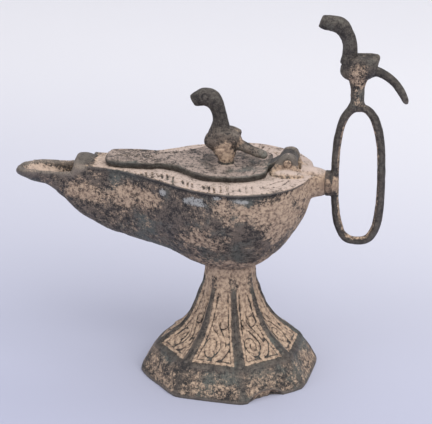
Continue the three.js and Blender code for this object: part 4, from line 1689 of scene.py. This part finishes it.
def top_bird(bar_top: float) -> Bird:
    """The bird on the handle.

    Args:
        bar_top: height of the middle of the bar it stands on.

    Returns:
        The bird's measures.
    """
    return Bird(
        55.8, bar_top, 41.5,
        stem=((0.0, -0.035, 0.13, 0.05), (0.0, 0.0, 0.105, 0.06), (0.0, 0.09, 0.074, 0.058),
              (0.0, 0.19, 0.074, 0.058), (0, 0.28, 0.09, 0.07), (0, 0.36, 0.12, 0.09)),
        body=((-0.175, 0.47, 0.03, 0.03), (-0.145, 0.455, 0.1, 0.075), (-0.08, 0.435, 0.135, 0.11),
              (0.01, 0.43, 0.132, 0.12), (0.11, 0.44, 0.118, 0.11), (0.19, 0.44, 0.07, 0.06)),
        wing=((-0.1, 0.46, 0.02, 0.02), (-0.04, 0.475, 0.09, 0.04), (0.08, 0.485, 0.09, 0.045),
              (0.185, 0.485, 0.085, 0.035), (0.205, 0.48, 0.05, 0.02)),
        wing_out=0.085,
        tail=((0.1, 0.4, 0.07, 0.06), (0.2, 0.405, 0.052, 0.052), (0.3, 0.36, 0.046, 0.046),
              (0.39, 0.285, 0.044, 0.042), (0.46, 0.185, 0.04, 0.036), (0.505, 0.095, 0.028, 0.028),
              (0.515, 0.07, 0.012, 0.012)),
        neck=((-0.095, 0.48, 0.1, 0.085), (-0.09, 0.6, 0.08, 0.07), (-0.098, 0.71, 0.076, 0.068),
              (-0.13, 0.8, 0.08, 0.07), (-0.19, 0.88, 0.09, 0.074), (-0.28, 0.908, 0.086, 0.068),
              (-0.35, 0.915, 0.08, 0.06), (-0.39, 0.924, 0.07, 0.05), (-0.402, 0.928, 0.06, 0.04)),
        eye=(-0.25, 0.92, 1.3))


@dataclass
class Lid:
    """The lid casting: a spade plate with a bird, a strap and a knuckle."""

    spade: Spade
    thick: float = 2.7
    dish: float = 0.9
    edge_rise: float = 0.25
    edge_round: float = 0.5
    strap_half_thick: float = 1.5
    knuckle_radius: float = 3.8
    voxel: float = 0.36
    vein_starts: tuple[float, ...] = (-48.0, -42.5, -37.0)
    shade_ring: float = 10.5
    cast_skin: CastSkin = CastSkin(
        seed=23, sway=0.2, lumps=0.12, pits=0.14, soil_up=0.1, soil_base=0.18)
    bird_back: Patch = Patch(-2.5, 104.5, 4.5, 5.5)
    bird_tail: Patch = Patch(3.5, 110.5, 3.5, 2.5)

    @property
    def top(self) -> float:
        """Height of the plate's top."""
        return DECK_Z + GAP + self.thick

    def figure(self) -> Bird:
        """The bird, standing in the middle of the dish."""
        return lid_bird(self.top - self.dish)

    def plate(self) -> Surface:
        """The plate: sections across it, dished about the bird and raised at the edge.

        Returns:
            The closed plate.
        """
        x = np.linspace(self.spade.tip_x + 0.15, self.spade.back_x, 230)[:, None]
        half = np.maximum(self.spade.half_width(x), 0.4)
        y = half * np.linspace(-1, 1, 90)
        r = np.hypot(x - self.spade.disc_x + 1, y) / (self.spade.disc_radius - 3)
        edge = half - np.abs(y)
        top = self.top - self.dish * np.clip(1 - r * r, 0, 1)
        top += self.edge_rise * bell(edge, 0, 1.3) - self.edge_round * bell(edge, 0, 0.35)
        low = gathered(x, half * np.linspace(0.97, -0.97, 30), self.top - self.thick)
        return skin(np.concatenate([gathered(x, y, top), low], 1))

    def strap(self) -> Surface:
        """The strap from the plate to the knuckle: a band on a rising curve.

        Returns:
            The closed strap.
        """
        back = self.spade.back_x
        path = spline(np.array([(back - 5, self.top - 1.3), (back, self.top - 0.6),
                                ((back + HINGE_X) / 2, HINGE_Z - 0.8), (HINGE_X - 0.5, HINGE_Z + 1.4)]),
                      np.linspace(0, 1, 40))
        section = np.array([(-1, -1), (1, -1), (1, 1), (-1, 1)]) * (KNUCKLE_HALF, self.strap_half_thick)
        return skin(gathered(path[:, :1], section[:, 0], path[:, 1:] + section[:, 1]))

    def strokes(self) -> list[np.ndarray]:
        """Cut lines of the lid: a leaf with veins on the tongue and a line along its edge.

        Returns:
            Polylines of (x, y).
        """
        made = [np.array([(-51.0, 0.0), (-33.0, 0.4)])]
        for at in self.vein_starts:
            for sign in (-1, 1):
                made.append(np.array([(at, 0.3 * sign), (at + 2.2, 2.6 * sign), (at + 5.6, 4.9 * sign)]))
        x = np.linspace(-53, -24, 80)
        half = self.spade.half_width(x) - 1.9
        return [*made, np.stack([x, half], 1), np.stack([x, -half], 1)]

    def groove(self, points: np.ndarray) -> np.ndarray:
        """Share of a cut line on the plate's top and on the bird's head.

        Args:
            points: positions, one row each.

        Returns:
            One share for each point.
        """
        on_top = smoothstep(self.top - 1.6, self.top - 1.2, points[:, 2]) * (points[:, 2] < self.top + 0.8)
        drawn = on_top * falling(0.15, 0.5, stroke_distance(points[:, :2], self.strokes()))
        return np.maximum(drawn, self.figure().cuts(points))

    def weather(self, coat: Coat) -> None:
        """Lays dust on the plate, soil behind the bird and a ring of painted shade round it, and bares the
        edge, head and strap, the edge's dark also painting the gap's shade.

        Args:
            coat: the lid's coat, which is changed.
        """
        x, y, z = coat.points.T
        on_plate = smoothstep(self.top - 1.9, self.top - 1.2, z) * falling(self.top + 0.5, self.top + 1.6, z)
        on_plate *= smoothstep(0.5, 0.85, coat.normals[:, 2]) * falling(16.0, 19.0, x)
        # Partly painted shade: the plate's side edge is made dark metal, and that dark also stands in for
        # the shade of the gap under the lid.
        edge = (1 - on_plate) * falling(self.top, self.top + 0.6, z)
        head = smoothstep(self.top + 11, self.top + 19, z)
        from_bird = np.hypot(x - self.spade.disc_x + 2, y)
        coat.dust = on_plate
        coat.bare_and_shade = np.maximum(0.95 * edge, 0.8 * head) + 0.8 * smoothstep(16.5, 18.5, x)
        # Painted shade: less dust in a ring round the bird darkens it for the dish's shade, with the crust
        # showing through.
        coat.earth_and_painted_light += on_plate * (0.34 - 0.3 * bell(from_bird, self.shade_ring, 2.6))
        coat.earth_and_painted_light += 0.75 * coat.spot(self.bird_back) + 0.3 * coat.spot(self.bird_tail)

    def build(self) -> bpy.types.Object:
        """Casts the lid and gives it its skin.

        Returns:
            The object, in millimetres.
        """
        obj = make_object("lamp_lid", self.plate())
        knuckle = hinge_bar(self.knuckle_radius, KNUCKLE_HALF)
        work(obj, Cut.JOIN, [*self.figure().limbs(), self.strap(), knuckle])
        melt(obj, self.voxel, 3)
        work(obj, Cut.TAKE, [hinge_bar(PIN_RADIUS + GAP, 9)])
        coat = self.cast_skin.apply(obj.data, self.groove, groove_depth=0.32)
        self.weather(coat)
        coat.store(obj.data)
        return obj


@dataclass
class Handle:
    """The handle casting: an oval ring on a boss, with a bird on top."""

    x: float = 56.95
    z: float = 97.2
    half_width: float = 10.15
    half_height: float = 31.3
    thick: float = 3.5
    depth: float = 4.4
    upper_power: float = 2.45
    lower_power: float = 3.0
    voxel: float = 0.34
    cast_skin: CastSkin = CastSkin(
        seed=37, sway=0.25, lumps=0.13, pits=0.1, soil_up=0.12, soil_base=0.16)

    def centre(self, turn: np.ndarray) -> np.ndarray:
        """Middle line of the bar: a superellipse, squarer below than above.

        Args:
            turn: directions from the ring's middle.

        Returns:
            Rows of x and z.
        """
        c, s = np.cos(turn), np.sin(turn)
        power = np.where(s < 0, 2 / self.lower_power, 2 / self.upper_power)
        return np.stack([self.x + self.half_width * np.sign(c) * np.abs(c) ** power,
                         self.z + self.half_height * np.sign(s) * np.abs(s) ** power], 1)

    def ring(self, steps: int = 300, sides: int = 24) -> Surface:
        """The bar carried round its middle line, with a soft diamond section.

        Args:
            steps: sections along the bar.
            sides: points round each.

        Returns:
            The closed ring.
        """
        fine = even_loop(self.centre(circle(steps * 8)), steps)
        ahead = np.roll(fine, -1, 0) - np.roll(fine, 1, 0)
        ahead /= np.linalg.norm(ahead, axis=1, keepdims=True)
        turn = circle(sides)
        soft = 1 + 0.06 * np.cos(2 * turn) ** 2
        across = self.thick / 2 * np.cos(turn) * soft
        return skin(gathered(fine[:, :1] + ahead[:, 1:] * across, self.depth / 2 * np.sin(turn) * soft,
                             fine[:, 1:] - ahead[:, :1] * across), loop=True)

    def boss(self) -> Surface:
        """The boss that meets the bowl's stub.

        Returns:
            The closed boss.
        """
        inner = self.x - self.half_width
        x = np.array([STUB_END_X - 0.6, inner - 0.9, inner + 0.9])
        return skin(stub_ring(x, np.array([0.2, 0.3, -1.4])))

    def weather(self, coat: Coat) -> None:
        """Lays soil on the bird's body, a tan painted highlight on the ring's inward faces, and rust where
        it is brazed.

        Args:
            coat: the handle's coat, which is changed.
        """
        x, z = coat.points[:, 0], coat.points[:, 2]
        braze = falling(1.5, 7.5, np.hypot(x - STUB_END_X, z - STUB_Z))
        body = np.maximum(coat.spot(Patch(57.0, 141.0, 7.0, 9.0)), coat.spot(Patch(56.0, 131.0, 5.0, 6.0)))
        out = np.stack([(x - self.x) / self.half_width ** 2, (z - self.z) / self.half_height ** 2], 1)
        out /= np.linalg.norm(out, axis=1, keepdims=True)
        facing_in = -np.einsum("ij,ij->i", coat.normals[:, ::2], out)
        # Painted highlight: tan on the ring's faces that turn to its middle, below the bird.
        inner_highlight = falling(130.0, 134.0, z) * smoothstep(0.3, 0.8, facing_in)
        coat.earth_and_painted_light += 0.55 * coat.spot(Patch(57.0, 143.0, 5.0, 7.0))
        coat.earth_and_painted_light += 0.4 * coat.spot(Patch(56.0, 134.0, 3.5, 5.0))
        # The inner faces' tan is painted highlight, not soil.
        coat.earth_and_painted_light += 0.55 * braze + 0.5 * inner_highlight
        coat.rust = 0.45 * braze
        coat.bare_and_shade = 0.8 * (1 - body) * (1 - braze) * (1 - 0.7 * inner_highlight)

    def build(self) -> bpy.types.Object:
        """Casts the handle and gives it its skin.

        Returns:
            The object, in millimetres.
        """
        obj = make_object("lamp_handle", self.ring())
        figure = top_bird(self.z + self.half_height)
        work(obj, Cut.JOIN, [self.boss(), *figure.limbs()])
        melt(obj, self.voxel, 3)
        coat = self.cast_skin.apply(obj.data, figure.cuts, groove_depth=0.3)
        self.weather(coat)
        coat.store(obj.data)
        return obj


@dataclass
class HingePin:
    """The pin through the lugs and the knuckle, with hammered ends."""

    held_soil: float = 0.75

    def build(self) -> bpy.types.Object:
        """Makes the pin from one profile turned about its own line.

        Returns:
            The object, in millimetres.
        """
        end = KNUCKLE_HALF + 2 * GAP + LUG_THICK
        half = np.array([(0.0, end + 0.7), (1.3, end + 0.65), (1.75, end + 0.35), (1.8, end + 0.05),
                         (1.7, end), (PIN_RADIUS, end - 0.02), (PIN_RADIUS, 0.0)])
        profile = np.vstack([half[1:], (half * (1, -1))[::-1][1:-1]])
        turn = circle(48)
        rings = gathered(HINGE_X + profile[:, :1] * np.cos(turn), profile[:, 1:],
                         HINGE_Z + profile[:, :1] * np.sin(turn))
        obj = make_object("lamp_pin", skin(rings))
        set_attribute(obj.data, "earth_and_painted_light", np.full(len(obj.data.vertices), self.held_soil))
        return obj


# Studio


@dataclass(frozen=True)
class SquareLamp:
    """A square light that faces the object, in metres and watts."""

    name: str
    place: tuple[float, float, float]
    size: float
    power: float
    colour: tuple[float, float, float]


@dataclass
class Studio:
    """Pale floor, soft light and the camera of the reference view."""

    azimuth: float = 9.0
    elevation: float = 22.5
    distance: float = 1.0
    mm_per_pixel: float = 0.46
    width: int = 432
    height: int = 424
    axis_pixel: tuple[float, float] = (229.4, 364.4)
    sensor: float = 36.0
    clip: tuple[float, float] = (0.05, 20.0)
    aim: tuple[float, float, float] = (0, 0, 0.08)
    lamps: tuple[SquareLamp, ...] = (
        SquareLamp("key", (0.7, -0.75, 1.25), 1.4, 21.0, (1.0, 0.985, 0.97)),
        SquareLamp("fill", (-1.1, -0.8, 0.8), 1.2, 6.0, (0.97, 0.98, 1.0)),
        SquareLamp("top", (0.1, 0.4, 1.5), 1.2, 8.0, (0.98, 0.98, 1.0)))
    sky: tuple[float, float, float] = (0.88, 0.88, 0.97)
    sky_strength: float = 0.62
    sweep_half: float = 2.4
    sweep_front: float = -1.6
    sweep_bend: float = 1.0
    bend_radius: float = 0.8
    paper_painted_shade: tuple[float, float, float] = (0.385, 0.40, 0.505)
    paper_painted_light: tuple[float, float, float] = (0.69, 0.69, 0.71)

    def paper(self) -> bpy.types.Material:
        """Matt paper painted cooler and darker in front and paler towards the back right, as painted shade
        and light.

        Returns:
            The material.
        """
        material = bpy.data.materials.new("pale_paper")
        b = NodeBench(material)
        where = b.node("ShaderNodeTexCoord").outputs["Object"]
        split = b.node("ShaderNodeSeparateXYZ")
        b.feed(split.inputs[0], where)
        # Painted light: the paper's colour runs from painted shade in front to painted light at the back
        # right, mottled by noise.
        away = b.math("ADD", split.outputs["Y"], b.scaled(split.outputs["X"], 0.22))
        away = b.math("ADD", away, b.scaled(b.noise(where, 1.5, 2.0), 0.2, -0.1))
        shader = b.node("ShaderNodeBsdfPrincipled")
        shade = b.blend(b.ramp(away, -0.16, 0.45), self.paper_painted_shade, self.paper_painted_light)
        b.feed(shader.inputs["Base Color"], shade)
        shader.inputs["Roughness"].default_value = 0.9
        shader.inputs["Specular IOR Level"].default_value = 0.1
        b.feed(b.node("ShaderNodeOutputMaterial").inputs["Surface"], shader.outputs[0])
        return material

    def floor(self) -> None:
        """A pale sweep: flat under the lamp, a quarter circle up behind it, then upright."""
        bend = np.linspace(0.05, math.pi / 2, 24)
        back, radius = self.sweep_bend, self.bend_radius
        y = np.concatenate([np.linspace(self.sweep_front, back, 30), back + radius * np.sin(bend),
                            np.full(8, back + radius)])
        z = np.concatenate([np.zeros(30), radius * (1 - np.cos(bend)), np.linspace(0.9, 2.6, 8)])
        x = np.linspace(-self.sweep_half, self.sweep_half, 30)
        index = np.arange(len(y) * len(x)).reshape(len(y), len(x))
        faces = np.stack([index[:-1, :-1], index[:-1, 1:], index[1:, 1:], index[1:, :-1]], -1)
        grid = gathered(x[None], y[:, None], z[:, None])
        obj = make_object("studio_sweep", Surface(grid.reshape(-1, 3), faces.reshape(-1, 4)))
        obj.data.shade_smooth()
        obj.data.materials.append(self.paper())

    def light(self, lamp: SquareLamp) -> None:
        """Hangs one lamp and turns it to the object.

        Args:
            lamp: the lamp.
        """
        data = bpy.data.lights.new(lamp.name, "AREA")
        data.size = lamp.size
        data.energy = lamp.power
        data.color = lamp.colour
        obj = bpy.data.objects.new(lamp.name, data)
        obj.location = lamp.place
        obj.rotation_euler = (Vector(lamp.place) - Vector(self.aim)).to_track_quat("Z", "Y").to_euler()
        bpy.context.scene.collection.objects.link(obj)

    def lights(self) -> None:
        """A broad key from the upper right, a weak fill, one from above and an even sky."""
        for lamp in self.lamps:
            self.light(lamp)
        world = bpy.data.worlds.new("pale_sky")
        world.use_nodes = True
        sky = world.node_tree.nodes["Background"]
        sky.inputs["Color"].default_value = (*self.sky, 1.0)
        sky.inputs["Strength"].default_value = self.sky_strength
        bpy.context.scene.world = world
        bpy.context.scene.view_settings.view_transform = "Standard"

    def camera(self, axis_x: float) -> None:
        """Sets the camera so that the foot's axis on the ground falls on its pixel of the view.

        Args:
            axis_x: where the foot's axis stands along X, in metres.
        """
        a, e = math.radians(self.azimuth), math.radians(self.elevation)
        back = np.array([math.sin(a) * math.cos(e), -math.cos(a) * math.cos(e), math.sin(e)])
        right = np.array([math.cos(a), math.sin(a), 0.0])
        up = np.cross(back, right)
        pixels = self.distance / (self.mm_per_pixel * MM)
        u = (self.axis_pixel[0] - self.width / 2) / pixels
        v = -(self.axis_pixel[1] - self.height / 2) / pixels
        place = self.distance * (back - u * right - v * up) + np.array([axis_x, 0, 0])
        data = bpy.data.cameras.new("view")
        data.sensor_width = self.sensor
        data.lens = pixels * self.sensor / self.width
        data.clip_start, data.clip_end = self.clip
        obj = bpy.data.objects.new("view", data)
        rows = [(right[k], up[k], back[k], place[k]) for k in range(3)]
        obj.matrix_world = Matrix([*rows, (0, 0, 0, 1)])
        bpy.context.scene.collection.objects.link(obj)
        bpy.context.scene.camera = obj

    def build(self, axis_x: float) -> None:
        """Makes the whole studio.

        Args:
            axis_x: where the foot's axis stands along X, in metres.
        """
        self.floor()
        self.lights()
        self.camera(axis_x)


# Assembly


@dataclass
class Piece:
    """One casting: how it is made, what it stands for and how it is finished."""

    make: Callable[[], bpy.types.Object]
    node: str
    body: str
    finish: Patina


def dress(piece: Piece, placement: Placement) -> None:
    """Builds a casting, puts it in the frame and gives it its finish.

    Args:
        piece: how it is made and finished.
        placement: where it goes.
    """
    obj = piece.make()
    placement.place(obj)
    obj.data.materials.clear()
    obj.data.materials.append(patina_material(piece.finish))
    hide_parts(piece.node)
    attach(obj, piece.body)
    LOG.info("%s: %d faces", obj.name, len(obj.data.polygons))


def clear_scene() -> None:
    """Removes the objects that a new file holds."""
    for obj in list(bpy.data.objects):
        bpy.data.objects.remove(obj)


def main() -> None:
    """Builds the lamp around its frame, then the studio."""
    logging.basicConfig(level=logging.INFO)
    clear_scene()
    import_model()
    low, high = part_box("foot")
    placement = Placement((low[0] + high[0]) / 2)
    Studio().build(placement.axis_x)
    hull, spade = Hull(), Spade()
    finishes = (
        Patina("foot_patina", "foot_bronze", deep=(0.066, 0.058, 0.048)),
        Patina("bowl_patina", "bowl_bronze"),
        Patina("lid_patina", "lid_bronze", dust=(0.36, 0.285, 0.24), green_share=0.4),
        Patina("pin_patina", "pin_bronze"),
        Patina("handle_patina", "handle_bronze", green_share=0.25))
    castings = ((Foot(hull), "foot", "body"), (Bowl(hull, spade), "bowl", "body"),
                (Lid(spade), "lid", "lid"), (HingePin(), "hinge_pin", "body"),
                (Handle(), "handle", "body"))
    for (casting, node, body), finish in zip(castings, finishes):
        dress(Piece(casting.build, node, body, finish), placement)


if __name__ == "__main__":
    main()
